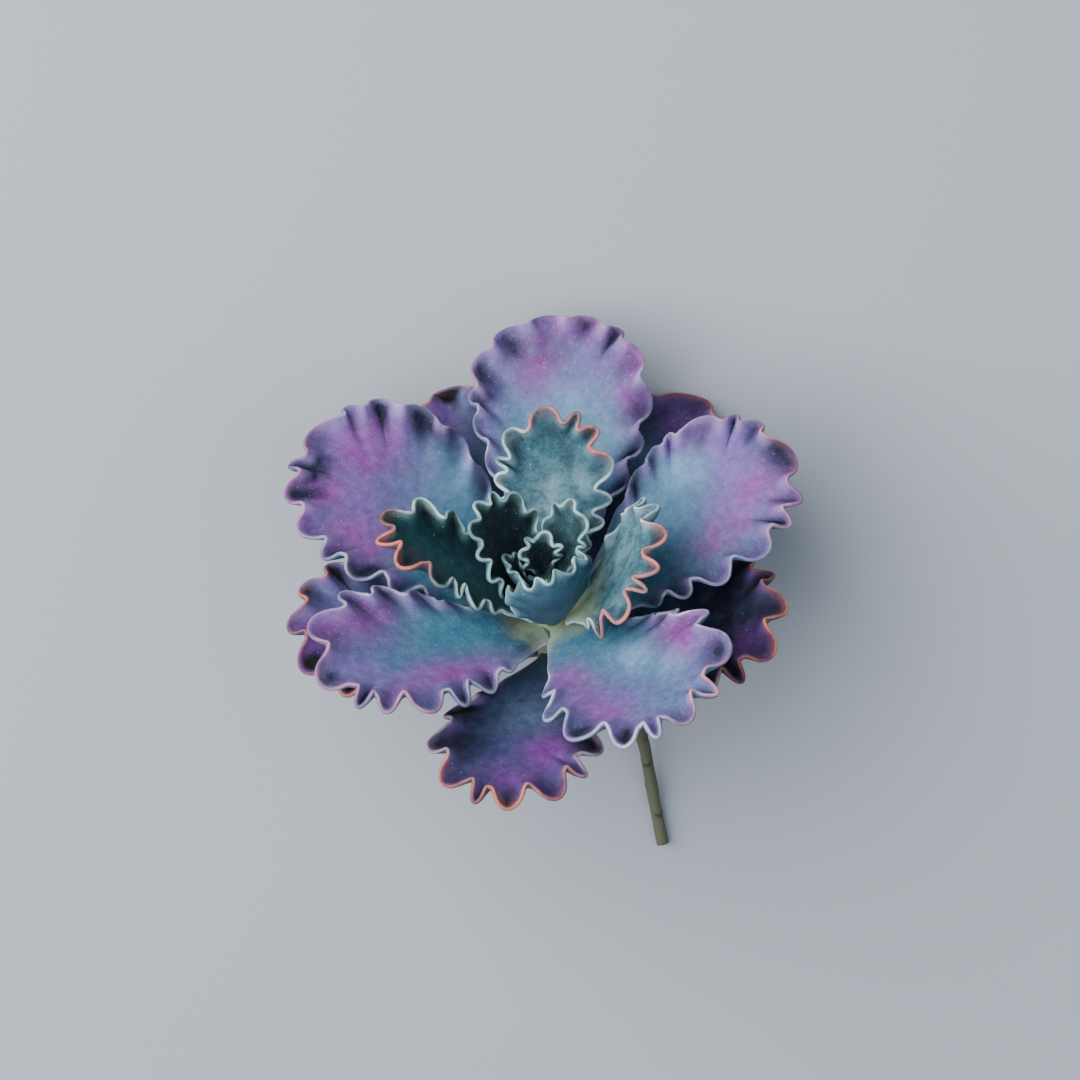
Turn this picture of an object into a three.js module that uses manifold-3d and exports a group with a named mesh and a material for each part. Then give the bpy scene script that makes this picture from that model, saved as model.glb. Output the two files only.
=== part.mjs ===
// A cut rosette of Echeveria shaviana with frilled, powdery leaves, laid down on
// three of its back leaves and on the end of its slender stem.
// Millimetres, +Z up. The origin is on the table, under the middle of the outline.

import * as THREE from 'three';
import Module from 'manifold-3d';

const wasm = await Module();
wasm.setup();

const { degToRad, smoothstep, clamp } = THREE.MathUtils;
const TURN = 2 * Math.PI;

// How the rosette lies: its axis leans this many degrees from upright, towards +Y,
// and the middle of its crown is this high above the table.
const AXIS_LEAN = 48.3;
const CROWN_HEIGHT = 23;

// How blunt a leaf's tip is, from 0, pointed, to 1, square.
const BLUNTNESS = 0.62;

// The thin margin of every leaf, and how its frill is gathered.
const EDGE_THICKNESS = 0.66;
const FRILL_DEPTH = 5; // how fast the frill dies out from the margin to the midrib
const FRILL_START = [0.1, 0.4]; // share of the margin's length where the frill sets in
const SQUARENESS = 0.15; // how steep the sides of a crest are
const ROUNDNESS = 0.04; // how much broader the top of a crest is than a plain wave's
const MIDRIB_REACH = 0.8; // the midrib's share of the leaf's length
const SHIFT_REACH = 0.6; // share of the leaf's length over which a foot's sideways shift dies out
const USUAL_GAP = 0.065; // a lobe this long, as a share of the margin, stands as high as its leaf's frill
const GAP_POWER = 0.35; // how much higher longer lobes stand
const LOBE_WANDER = 0.3; // how far a lobe strays from its even place, as a share of a lobe
const WANDER_STEP = 2.4; // radians from one lobe's stray to the next one's
const PLAIN_FOOT = 0.06; // share of the margin beside the foot that has no frill
const DIRECTION_STEP = 0.004; // share of the margin over which its direction is taken
const THINNING = 0.4; // how much thinner the flesh is at the tip than at the base

// Points in a leaf's mesh.
const MIDRIB_STEPS = 9;
const RINGS = [
  { reach: 0.72, steps: 30 },
];

// What a leaf has unless its age or its own entry says otherwise: height and count of
// the broad swells round its blade, sideways roll, sideways shift of its foot, where it
// is widest, how much its margin crowds into the narrow crests, how far a crest draws
// the margin inwards, by its height, and the facets of one lobe's margin.
const PLAIN = { swell: 0, swells: 2, roll: 0, shift: 0, widest: 0.66, pinch: 0.42, scallop: 0.6, facets: 6 };

// Leaves of one age are alike: width of the foot and how fast the blade spreads from
// it, flesh at the midrib, distance of the foot from the axis, height of the frill,
// lobes round the whole margin, and degrees that each half of the blade curls up.
const OUTER = { foot: 3.1, spread: 0.14, flesh: 1.5, radius: 2.85, frill: 1.2, lobes: 15, cup: 20 };
const LOWER = { foot: 3.1, spread: 0.14, flesh: 1.5, radius: 2.85, frill: 1.2, lobes: 13, cup: 20 };
const INNER = { foot: 3.4, spread: 0.12, flesh: 1.2, radius: 2.85, frill: 1.0, lobes: 12, cup: 25 };
const HEART = { foot: 2.6, spread: 0.05, flesh: 1.0, radius: 1.7, frill: 0.62, lobes: 10, cup: 50 };
const BUD = { foot: 1.3, spread: 0.02, flesh: 0.8, radius: 1.1, frill: 0.38, lobes: 8, cup: 55, pinch: 0.3,
  facets: 4 };

// One entry for a leaf: where it stands round the axis in degrees, the height of its
// foot on the stem, length, full width, its slope at the foot and at the tip, and the
// places of the frill's crests round its margin.
const LEAVES = [
  { name: 'leaf_top', ring: OUTER, azimuth: 79.4, height: 0.9, length: 36.4, width: 21.8, pitch: 24, tipPitch: 30,
    seed: 1, frill: 1.0, swell: 0.8, swells: 2.6, spread: -0.2, widest: 0.73, roll: 3, scallop: 0.35,
    crests: [0.1, 0.16, 0.22, 0.268, 0.338, 0.4, 0.435, 0.497, 0.553, 0.612, 0.676, 0.708, 0.76, 0.82, 0.9] },
  { name: 'leaf_upper_left', ring: OUTER, azimuth: 138.2, height: 0.4, length: 34.5, width: 24.6, pitch: 25,
    tipPitch: 30, seed: 2, frill: 1.1, swell: 0.9, spread: 0.1, roll: 5, scallop: 0.5,
    crests: [0.1, 0.17, 0.235, 0.3, 0.365, 0.42, 0.455, 0.545, 0.57, 0.632, 0.69, 0.722, 0.785, 0.84, 0.91] },
  { name: 'leaf_left', ring: OUTER, azimuth: 205.4, height: 3.0, length: 28.8, width: 19.3, pitch: 18, tipPitch: 31,
    seed: 3, roll: -4, cup: 31, foot: 4.6, shift: 1.1,
    crests: [0.09, 0.15, 0.215, 0.285, 0.347, 0.455, 0.565, 0.6, 0.65, 0.735, 0.79, 0.875, 0.93] },
  { name: 'leaf_right', ring: OUTER, azimuth: 20, height: 0.8, length: 32.3, width: 20.4, pitch: 25,
    tipPitch: 31, seed: 4, frill: 1.1, swell: 0.7, spread: 0.06, roll: 5, scallop: 0.45,
    crests: [0.1, 0.155, 0.205, 0.275, 0.35, 0.387, 0.43, 0.53, 0.575, 0.602, 0.682, 0.71, 0.75, 0.81, 0.9] },
  { name: 'leaf_lower_right', ring: OUTER, azimuth: 298, height: 2.7, length: 28, width: 22, pitch: 18,
    tipPitch: 31, seed: 5, roll: 7, cup: 34, foot: 4.6, shift: -0.4,
    crests: [0.1, 0.18, 0.265, 0.365, 0.43, 0.462, 0.535, 0.575, 0.7, 0.785, 0.83, 0.88] },
  { name: 'leaf_bottom', ring: LOWER, azimuth: 251, height: -2.0, length: 25.4, width: 18.6, pitch: 12,
    tipPitch: 16, seed: 6, crests: [0.1, 0.17, 0.265, 0.355, 0.445, 0.48, 0.56, 0.645, 0.68, 0.79, 0.86, 0.92] },
  { name: 'leaf_under_left', ring: LOWER, azimuth: 177.5, height: -2.4, length: 28.6, width: 20.6, pitch: 16,
    tipPitch: 20, seed: 7, crests: [0.1, 0.19, 0.27, 0.335, 0.385, 0.453, 0.53, 0.63, 0.69, 0.75, 0.83, 0.9] },
  { name: 'leaf_under_right', ring: LOWER, azimuth: 344, height: -2.6, length: 25.6, width: 20.4, pitch: 17,
    tipPitch: 21, seed: 10, crests: [0.1, 0.19, 0.27, 0.345, 0.385, 0.49, 0.585, 0.625, 0.7, 0.78, 0.86] },
  { name: 'leaf_back_left', ring: LOWER, azimuth: 105, height: -3.0, length: 35, width: 20, pitch: 13,
    tipPitch: 17, seed: 8, roll: -3 },
  { name: 'leaf_back_right', ring: LOWER, azimuth: 56, height: -4.4, length: 35.6, width: 20, pitch: 11,
    tipPitch: 14, seed: 9, roll: -3 },
  { name: 'leaf_back_side', ring: LOWER, azimuth: 125, height: -5.0, length: 30, width: 17, pitch: 0,
    tipPitch: 2, seed: 20 },
  { name: 'leaf_inner_top', ring: INNER, azimuth: 76, height: 4.2, length: 21.7, width: 13, pitch: 50,
    tipPitch: 60, seed: 11,
    crests: [0.09, 0.15, 0.21, 0.27, 0.375, 0.432, 0.473, 0.578, 0.665, 0.695, 0.755, 0.81, 0.9] },
  { name: 'leaf_inner_left', ring: INNER, azimuth: 169, height: 4.0, length: 21, width: 13.0, pitch: 42,
    tipPitch: 46, seed: 12, frill: 1.1, cup: 48, roll: 8,
    crests: [0.09, 0.16, 0.23, 0.305, 0.4, 0.495, 0.555, 0.652, 0.735, 0.768, 0.855, 0.92] },
  { name: 'leaf_inner_right', ring: INNER, azimuth: 345.5, height: 4.1, length: 16.6, width: 17.2, pitch: 48,
    tipPitch: 55, seed: 13, frill: 1.1, cup: 20, widest: 0.74,
    crests: [0.07, 0.14, 0.25, 0.365, 0.4, 0.48, 0.6, 0.66, 0.73, 0.82, 0.91] },
  { name: 'leaf_heart_left', ring: HEART, azimuth: 149.4, height: 6.03, length: 15, width: 12.2, pitch: 58.8,
    tipPitch: 78, seed: 14, widest: 0.56, crests: [0.11, 0.2, 0.29, 0.4, 0.455, 0.525, 0.62, 0.685, 0.77, 0.88] },
  { name: 'leaf_heart_front', ring: HEART, azimuth: 284.7, height: 4.87, length: 12.5, width: 13.4, pitch: 60,
    tipPitch: 98, seed: 15, cup: 64, radius: 2.1, roll: 7.5, scallop: -0.5,
    crests: [0.13, 0.225, 0.3, 0.375, 0.437, 0.5, 0.6, 0.68, 0.78, 0.88] },
  { name: 'leaf_heart_right', ring: BUD, azimuth: 46.5, height: 7.6, length: 11, width: 6, pitch: 60,
    tipPitch: 72, seed: 16, foot: 1.8, lobes: 9, radius: 1.7, cup: 40 },
  { name: 'leaf_bud_top', ring: BUD, azimuth: 99.6, height: 9.27, length: 6.6, width: 5.45, pitch: 72.2, tipPitch: 92,
    seed: 17, radius: 0.9, cup: 60 },
  { name: 'leaf_bud_left', ring: BUD, azimuth: 189, height: 7.55, length: 7.8, width: 5.25, pitch: 57.8,
    tipPitch: 84, seed: 18, frill: 0.34, radius: 1.4, cup: 60 },
  { name: 'leaf_bud_centre', ring: BUD, azimuth: 240, height: 8.4, length: 4, width: 3.2, pitch: 62,
    tipPitch: 85, seed: 19, foot: 1.0, frill: 0.25, lobes: 6, radius: 0.6 },
];

// The leaves whose frills touch the table.
const RESTING = ['leaf_back_left', 'leaf_back_right', 'leaf_back_side'];

// The short fleshy crown that carries the leaves: radius and height of its profile.
const CROWN = [
  [0, -6.4], [0.9, -6.2], [1.9, -5.4], [2.2, -4.2], [2.25, 2.6], [1.9, 3.8], [1.05, 5.2],
  [0.75, 6.6], [0.4, 7.6], [0, 7.9],
];
const CROWN_SIDES = 20;

// The slender stem's middle line from the crown down to its cut end on the table.
const STEM_RADIUS = 0.75;
const STEM_SIDES = 10;
const STEM_STEPS = 30;
const STEM_ROUTE = [
  [0, 0, -5.4], [0.7, 0.5, -9], [3.4, 1.6, -14.5], [6.9, 2.5, -20], [9.0, 2.2, -25.6],
  [9.5, 0.4, -31], [9.7, -2.0, -35.2], [10, -5.1, -39.3],
];

// Outline of a flat leaf, foot to tip, with the width growing to two thirds up.
function halfOutline({ foot, spread, length, width, widest }) {
  const half = width / 2;
  const up = widest * length;
  const point = (x, y) => new THREE.Vector2(x, y);
  const path = new THREE.CurvePath();
  path.add(new THREE.CubicBezierCurve(
    point(foot / 2, 0), point(foot / 2 + spread * half, 0.2 * up), point(half, 0.62 * up), point(half, up)));
  path.add(new THREE.CubicBezierCurve(
    point(half, up), point(half, up + 0.56 * (length - up)), point(BLUNTNESS * half, length), point(0, length)));
  return path;
}

// Crests for a leaf that has no list of its own: as many lobes, in uneven lengths.
function unevenCrests(lobes, seed) {
  const wander = (k) => LOBE_WANDER * Math.sin(WANDER_STEP * k + seed);
  return Array.from({ length: lobes - 1 }, (_, k) => (k + 1 + wander(k + 1)) / lobes);
}

// The frill at the place s round the margin (0 and 1 are the foot's corners, 0.5 is
// the tip): how far the lobe there has turned, from crest to crest, how long the lobe
// is, and the height of the frill.
function frillWave({ crests, frill }, s) {
  let k = 0;
  while (k < crests.length - 2 && s > crests[k + 1]) k += 1;
  const gapAt = (i) => (i < 0 || i > crests.length - 2 ? USUAL_GAP : crests[i + 1] - crests[i]);
  const heightAt = (i) => frill * ((gapAt(i - 1) + gapAt(i)) / 2 / USUAL_GAP) ** GAP_POWER;
  const gap = gapAt(k);
  const t = (s - crests[k]) / gap;
  const height = heightAt(k) + (heightAt(k + 1) - heightAt(k)) * smoothstep(t, 0, 1);
  return { phase: TURN * t, gap, height };
}

// A point of the leaf's middle surface in the rosette's frame: s goes round the
// margin and r goes from the midrib (0) to the margin (1).
function bladePoint(leaf, s, r) {
  const { phase, gap, height } = frillWave(leaf, s);
  const grip = smoothstep(1 - Math.abs(2 * s - 1), ...FRILL_START) * r ** FRILL_DEPTH;
  const crowding = grip * (-leaf.pinch * Math.sin(phase) + SQUARENESS * Math.sin(2 * phase)) * gap / TURN;
  const place = clamp(s + crowding, 0, 1);
  const share = 1 - Math.abs(2 * place - 1);
  const side = place < 0.5 ? -1 : 1;

  const margin = leaf.outline.getPoint(share);
  const before = leaf.outline.getPoint(Math.max(share - DIRECTION_STEP, 0));
  const along = leaf.outline.getPoint(Math.min(share + DIRECTION_STEP, 1)).sub(before).normalize();
  const root = MIDRIB_REACH * leaf.length * share;
  const crest = grip * height * ((1 + ROUNDNESS) * Math.cos(phase) - ROUNDNESS * Math.cos(2 * phase));
  const flat = side * (r * margin.x - leaf.scallop * crest * along.y);
  const y = root + r * (margin.y - root) + leaf.scallop * crest * along.x;
  const x = flat + leaf.shift * (1 - clamp(y / (SHIFT_REACH * leaf.length), 0, 1)) ** 2;
  const swell = leaf.swell * r * r * smoothstep(share, ...FRILL_START)
    * Math.sin(TURN * (leaf.swells * s + 0.23 * leaf.seed));
  return bendBlade(leaf, x, y, crest + swell);
}

// Curves the flat, frilled blade across and along, and stands it on the axis.
function bendBlade(leaf, x, y, z) {
  const curl = degToRad(leaf.cup) / (leaf.width / 2);
  const across = Math.sin(curl * x) * (1 / curl - z);
  const lift = 1 / curl - Math.cos(curl * x) * (1 / curl - z);
  const roll = degToRad(leaf.roll);
  const sideways = across * Math.cos(roll) - lift * Math.sin(roll);
  const above = across * Math.sin(roll) + lift * Math.cos(roll);

  const slope = (t) => degToRad(leaf.pitch + (leaf.tipPitch - leaf.pitch) * Math.max(t, 0) ** 1.5);
  const steps = 24;
  let outward = leaf.radius;
  let upward = leaf.height;
  for (let i = 0; i < steps; i += 1) {
    const middle = slope(((i + 0.5) / steps) * (y / leaf.length));
    outward += (y / steps) * Math.cos(middle);
    upward += (y / steps) * Math.sin(middle);
  }
  const here = slope(y / leaf.length);
  outward -= above * Math.sin(here);
  upward += above * Math.cos(here);
  const turn = degToRad(leaf.azimuth);
  return new THREE.Vector3(
    outward * Math.cos(turn) - sideways * Math.sin(turn),
    outward * Math.sin(turn) + sideways * Math.cos(turn),
    upward);
}

// Places round the margin that catch every crest and lobe of the frill.
function marginPlaces({ crests, facets }) {
  const places = crests.slice(1).flatMap((end, k) => {
    const start = crests[k];
    return Array.from({ length: facets }, (_, i) => start + ((end - start) * i) / facets);
  });
  const frilled = places.filter((s) => s > PLAIN_FOOT && s < 1 - PLAIN_FOOT);
  return [0, PLAIN_FOOT / 2, ...frilled, 1 - PLAIN_FOOT / 2, 1];
}

// Fills the strip between two rows of points that both run round the leaf.
function stitch(inner, outer, faces) {
  let i = 0;
  let j = 0;
  while (i < inner.length - 1 || j < outer.length - 1) {
    const innerDone = i === inner.length - 1;
    const outerDone = j === outer.length - 1;
    if (outerDone || (!innerDone && inner[i + 1].s < outer[j + 1].s)) {
      faces.push([inner[i].index, inner[i + 1].index, outer[j].index]);
      i += 1;
    } else {
      faces.push([inner[i].index, outer[j + 1].index, outer[j].index]);
      j += 1;
    }
  }
}

// The closed blade: its middle surface split into triangles, and both faces offset
// from it by half the thickness, with the same triangles on each.
function leafGeometry(leaf) {
  const points = [];
  const reaches = [];
  const addRow = (places, reach) => places.map((s) => {
    points.push(bladePoint(leaf, s, reach));
    reaches.push(reach);
    return { s, index: points.length - 1 };
  });
  const even = (steps) => Array.from({ length: steps + 1 }, (_, i) => i / steps);
  const up = addRow(even(MIDRIB_STEPS).map((t) => t / 2), 0);
  const down = up.slice(0, -1).reverse().map(({ s, index }) => ({ s: 1 - s, index }));
  const rows = [[...up, ...down]];
  for (const ring of RINGS) rows.push(addRow(even(ring.steps), ring.reach));
  rows.push(addRow(marginPlaces(leaf), 1));

  const faces = [];
  for (let i = 1; i < rows.length; i += 1) stitch(rows[i - 1], rows[i], faces);
  const sheet = new THREE.BufferGeometry().setFromPoints(points);
  sheet.setIndex(faces.flat());
  sheet.computeVertexNormals();

  const count = points.length;
  const normal = new THREE.Vector3();
  const upper = points.map((point, i) => {
    normal.fromBufferAttribute(sheet.attributes.normal, i);
    const flesh = (leaf.flesh - EDGE_THICKNESS) * (1 - reaches[i] ** 2);
    const share = clamp(point.distanceTo(points[0]) / leaf.length, 0, 1);
    const half = (EDGE_THICKNESS + flesh * (1 - THINNING * share)) / 2;
    return { point, offset: normal.clone().multiplyScalar(half) };
  });
  const both = [
    ...upper.map(({ point, offset }) => point.clone().add(offset)),
    ...upper.map(({ point, offset }) => point.clone().sub(offset)),
  ];
  const closed = faces.flatMap(([a, b, c]) => [a, b, c, a + count, c + count, b + count]);
  const margin = rows.at(-1).map(({ index }) => index);
  const starts = rows.slice(0, -1).map((row) => row[0].index);
  const ends = rows.slice(1, -1).map((row) => row.at(-1).index).reverse();
  const loop = [...margin, ...ends, ...starts];
  loop.forEach((a, i) => {
    const b = loop[(i + 1) % loop.length];
    closed.push(a, b, b + count, a, b + count, a + count);
  });
  const geometry = new THREE.BufferGeometry().setFromPoints(both);
  geometry.setIndex(closed);
  return geometry;
}

// Geometry to solid and back, for joins and cuts.
function solidOf(geometry) {
  return new wasm.Manifold(new wasm.Mesh({
    numProp: 3,
    vertProperties: new Float32Array(geometry.attributes.position.array),
    triVerts: new Uint32Array(geometry.index.array),
  }));
}

function geometryOf(solid) {
  const mesh = solid.getMesh();
  const geometry = new THREE.BufferGeometry();
  geometry.setAttribute('position', new THREE.BufferAttribute(new Float32Array(mesh.vertProperties), 3));
  geometry.setIndex(new THREE.BufferAttribute(new Uint32Array(mesh.triVerts), 1));
  return geometry;
}

// A closed loft through rings of points, with a middle point closing each end.
function loft(rings, start, end) {
  const sides = rings[0].length;
  const points = [...rings.flat(), start, end];
  const first = points.length - 2;
  const last = points.length - 1;
  const index = [];
  for (let k = 0; k < sides; k += 1) {
    const next = (k + 1) % sides;
    index.push(first, next, k);
    for (let i = 0; i < rings.length - 1; i += 1) {
      const a = i * sides;
      const b = a + sides;
      index.push(a + k, a + next, b + next, a + k, b + next, b + k);
    }
    const top = (rings.length - 1) * sides;
    index.push(last, top + k, top + next);
  }
  const geometry = new THREE.BufferGeometry().setFromPoints(points);
  geometry.setIndex(index);
  return geometry;
}

// The crown, turned about the axis.
function crownGeometry() {
  const inside = CROWN.slice(1, -1);
  const rings = inside.map(([radius, height]) => Array.from({ length: CROWN_SIDES }, (_, k) => {
    const angle = (TURN * k) / CROWN_SIDES;
    return new THREE.Vector3(radius * Math.cos(angle), radius * Math.sin(angle), height);
  }));
  return loft(rings, new THREE.Vector3(0, 0, CROWN[0][1]), new THREE.Vector3(0, 0, CROWN.at(-1)[1]));
}

// The slender stem, a round section along its route. The rings run upwards.
function stemGeometry() {
  const route = new THREE.CatmullRomCurve3(STEM_ROUTE.map((p) => new THREE.Vector3(...p)).reverse());
  const { normals, binormals } = route.computeFrenetFrames(STEM_STEPS, false);
  const centres = route.getSpacedPoints(STEM_STEPS);
  const rings = centres.map((centre, i) => Array.from({ length: STEM_SIDES }, (_, k) => {
    const angle = (TURN * k) / STEM_SIDES;
    return centre.clone()
      .addScaledVector(normals[i], STEM_RADIUS * Math.cos(angle))
      .addScaledVector(binormals[i], STEM_RADIUS * Math.sin(angle));
  }));
  return loft(rings, centres[0], centres.at(-1));
}

const skin = (color, roughness) => new THREE.MeshStandardMaterial({ color, roughness, metalness: 0 });
const LEAF_COLOURS = new Map([
  [OUTER, 0x8f86b8], [LOWER, 0x5f4a72], [INNER, 0x4f7f88], [HEART, 0x2f5f66], [BUD, 0x3f6a78],
]);

// The whole plant lies in this group: leaning over, and raised onto the table.
const plant = new THREE.Group();
plant.rotation.x = degToRad(-AXIS_LEAN);
plant.position.z = CROWN_HEIGHT;
plant.updateMatrixWorld(true);

// Everything below the table is pared away, which leaves small real flats.
const below = new THREE.BoxGeometry(200, 200, 20);
below.translate(0, 0, -10);
below.applyMatrix4(plant.matrixWorld.clone().invert());

function weldedBox(geometry) {
  const corners = [];
  const index = Array.from(geometry.index.array, (i) => {
    const corner = new THREE.Vector3().fromBufferAttribute(geometry.attributes.position, i);
    const known = corners.findIndex((c) => c.distanceTo(corner) < 1e-3);
    return known >= 0 ? known : corners.push(corner) - 1;
  });
  const welded = new THREE.BufferGeometry().setFromPoints(corners);
  welded.setIndex(index);
  return welded;
}
const table = solidOf(weldedBox(below));

for (const row of LEAVES) {
  const leaf = { ...PLAIN, ...row.ring, ...row };
  leaf.crests = [0, ...(row.crests ?? unevenCrests(leaf.lobes, leaf.seed)), 1];
  leaf.outline = halfOutline(leaf);
  let geometry = leafGeometry(leaf);
  if (RESTING.includes(leaf.name)) geometry = geometryOf(solidOf(geometry).subtract(table));
  const mesh = new THREE.Mesh(geometry, skin(LEAF_COLOURS.get(row.ring), 0.6));
  mesh.name = leaf.name;
  plant.add(mesh);
}

const stemSolid = solidOf(crownGeometry()).add(solidOf(stemGeometry())).subtract(table);
const stem = new THREE.Mesh(geometryOf(stemSolid), skin(0x5b6350, 0.75));
stem.name = 'stem';
plant.add(stem);

// The plant is slid so that the origin is under the middle of its outline.
const part = new THREE.Group();
part.add(plant);
const outline = new THREE.Box3().setFromObject(part, true);
const middle = outline.getCenter(new THREE.Vector3());
plant.position.x -= middle.x;
plant.position.y -= middle.y;

export default part;
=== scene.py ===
"""A cut rosette of Echeveria shaviana, lying on three back leaves and its stem, dressed over its frame.

Every leaf is grown from one formula of the flat blade, its gathered frill and its bends, in millimetres
in the rosette's own frame, and is then laid down on the table.
"""

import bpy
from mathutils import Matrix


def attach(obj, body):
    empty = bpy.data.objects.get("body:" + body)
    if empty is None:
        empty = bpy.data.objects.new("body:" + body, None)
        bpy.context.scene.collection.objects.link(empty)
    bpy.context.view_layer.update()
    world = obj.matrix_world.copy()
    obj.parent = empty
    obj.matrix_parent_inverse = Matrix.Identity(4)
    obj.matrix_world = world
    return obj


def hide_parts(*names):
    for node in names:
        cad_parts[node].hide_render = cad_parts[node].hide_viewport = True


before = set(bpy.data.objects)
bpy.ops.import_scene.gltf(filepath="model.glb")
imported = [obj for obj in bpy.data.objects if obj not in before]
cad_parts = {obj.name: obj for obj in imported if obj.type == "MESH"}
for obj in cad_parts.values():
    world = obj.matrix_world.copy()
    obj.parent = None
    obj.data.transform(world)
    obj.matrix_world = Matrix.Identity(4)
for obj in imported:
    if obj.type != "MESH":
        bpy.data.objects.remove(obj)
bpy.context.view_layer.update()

import logging
import math
from dataclasses import dataclass, field
from enum import Enum

import bpy
import numpy as np
from mathutils import Matrix, Vector

log = logging.getLogger("rosette")

Socket = bpy.types.NodeSocket
Tree = bpy.types.NodeTree

MM = 0.001
TURN = 2 * math.pi

# How the rosette lies, as in the part: its axis leans towards +Y, and its crown is this far from the
# origin, in mm.
AXIS_LEAN = math.radians(48.3)
CROWN_AT = np.array([-0.0526, -1.6958, 23.0])

# The flat blade and its frill, as in the part.
BLUNTNESS = 0.62  # how blunt a leaf's tip is, from 0, pointed, to 1, square
MIDRIB_REACH = 0.8  # the midrib's share of the leaf's length
SHIFT_REACH = 0.6  # the share of the leaf's length over which a foot's sideways shift dies out
FRILL_START = (0.1, 0.4)  # the share of the margin's length where the frill sets in
FRILL_DEPTH = 5  # how fast the frill dies out from the margin to the midrib
SQUARENESS = 0.15  # how steep the sides of a crest are
ROUNDNESS = 0.04  # how much broader the top of a crest is than a plain wave's
USUAL_GAP = 0.065  # a lobe this long, as a share of the margin, stands as high as its leaf's frill
GAP_POWER = 0.35  # how much higher longer lobes stand
LOBE_WANDER = 0.3  # how far a lobe strays from its even place, as a share of a lobe
WANDER_STEP = 2.4  # radians from one lobe's stray to the next one's
DIRECTION_STEP = 0.004  # the share of the margin over which its direction is taken
SWELL_TURN = 0.23  # the part of a turn by which a seed shifts its leaf's swells
PITCH_POWER = 1.5  # how late the slope turns from the foot's to the tip's
THINNING = 0.4  # how much thinner the flesh is at the tip than at the base

# Forms that are finer than the part's. The heights and the depth are shares of the frill's height.
CURL = 0.34  # how high the lobes' margins curl back up
CRINKLE = 0.12  # how high the crinkles stand
CRINKLES = 2.63  # how many crinkles cross a lobe
CRINKLE_FADE = 10  # how fast the crinkles die out from the margin to the midrib
PLEAT_DEPTH = 0.22  # how deep the pleats in the pockets of the frill are
PLEAT_WIDTH = 0.5  # how wide they are, as an angle of the wave
PLEAT_SHADE = 0.3  # how much painted shade a pleat adds to its pocket
POCKET_EDGE = 0.8  # how softly the painted shade of a pocket ends, from 1, soft, to 0, hard
UNEVEN_MM = 0.1  # how far the blade strays from even
UNEVEN_TURNS = (0.5, 0.37)  # how fast it does so, in radians to a mm across and along the leaf

# From where to where, on the way from the midrib (0) to the margin (1), these forms grow.
FRILL_ROWS = (0.55, 0.86)
PLEAT_ROWS = (0.62, 0.94)
CURL_ROWS = (0.9, 1)
PLEAT_END_ROWS = (0.92, 1)
RIM_ROWS = (0.93, 1)

# Over which share of the margin a reddened stretch of the rim sets in and ends.
RED_BLEND = 0.04

# The visible rim is rounded, and a little finer than the part's own.
EDGE_THICKNESS = 0.46
RIM_STEPS = 6
RIM_ANGLES = np.linspace(math.pi / 2, -math.pi / 2, RIM_STEPS + 2)[1:-1]
LIT_ANGLE = 0.4  # the rim's pale line, partly its own colour and partly a painted highlight, runs along its upper shoulder, at this angle
LIT_REACH = 0.5  # and reaches this far to both sides of it

# How each leaf's mesh is laid out: rows crowd towards the margin, and the last one is set back from
# the rim by this share of the edge's thickness.
ROW_CROWDING = 1.5
RIM_SETBACK = 0.6

# The foot goes on inwards into the crown by these steps, in mm, and narrows by this share in each mm.
FOOT_STEPS = np.array([0.4, 0.75, 1.1])
FOOT_TAPER = 0.12

# The places along a leaf's spine where its slope is worked out, as shares of its length, and how many
# points each of its outline's two curves has.
SPINE = np.linspace(-0.15, 1.25, 281)
CURVE_POINTS = 80

# Over how many mm a leaf's pressed frill bends to lie on the table.
LIE_SOFTNESS = 0.15

# How far apart the patterns of two leaves lie, and those of a leaf's two faces, in mm.
LEAF_APART = 31.7
FACE_APART = 7.0

# Kinds of nodes and their settings.
ATTRIBUTE = "ShaderNodeAttribute"
NOISE = "ShaderNodeTexNoise"
RAMP = "ShaderNodeMapRange"
MATH = "ShaderNodeMath"
MIX = "ShaderNodeMix"
SMOOTH = {"interpolation_type": "SMOOTHSTEP"}
COLOURS = {"data_type": "RGBA"}
PLUS = {"operation": "ADD"}
TIMES = {"operation": "MULTIPLY"}
TIMES_PLUS = {"operation": "MULTIPLY_ADD"}
LARGER = {"operation": "MAXIMUM"}

# Numbers of the inputs of a ramp: where it starts and ends, and its values there.
START, END, LOW, HIGH = 1, 2, 3, 4

# Numbers of the inputs of a mix of colours and of its result.
SHARE, UNDER, OVER, MIXED = 0, 6, 7, 2


def linear(sheet_colour: str) -> tuple[float, float, float, float]:
    """Turns an sRGB hex colour into the linear values that shaders take.

    Args:
        sheet_colour: six hex digits after a hash sign.

    Returns:
        Red, green, blue and an alpha of one.
    """
    parts = [int(sheet_colour[i:i + 2], 16) / 255 for i in (1, 3, 5)]
    red, green, blue = (p / 12.92 if p <= 0.04045 else ((p + 0.055) / 1.055) ** 2.4 for p in parts)
    return red, green, blue, 1.0


def soft_step(value: np.ndarray, low: float, high: float) -> np.ndarray:
    """Rises smoothly from 0 at low to 1 at high.

    Args:
        value: what is compared.
        low: where the rise starts.
        high: where it ends.

    Returns:
        The step, in the shape of value.
    """
    t = np.clip((value - low) / (high - low), 0, 1)
    return t * t * (3 - 2 * t)


def laid_down(points: np.ndarray) -> np.ndarray:
    """Takes points from the rosette's frame, in millimetres, to where the plant lies, in metres.

    Args:
        points: an array whose last axis is x, y, z.

    Returns:
        The same points in the row frame, none of them below the table.
    """
    cos, sin = math.cos(AXIS_LEAN), math.sin(AXIS_LEAN)
    x, y, z = np.moveaxis(points, -1, 0)
    placed = np.stack([x, y * cos + z * sin, z * cos - y * sin], -1) + CROWN_AT
    placed[..., 2] = np.maximum(placed[..., 2], 0)
    return placed * MM


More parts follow.
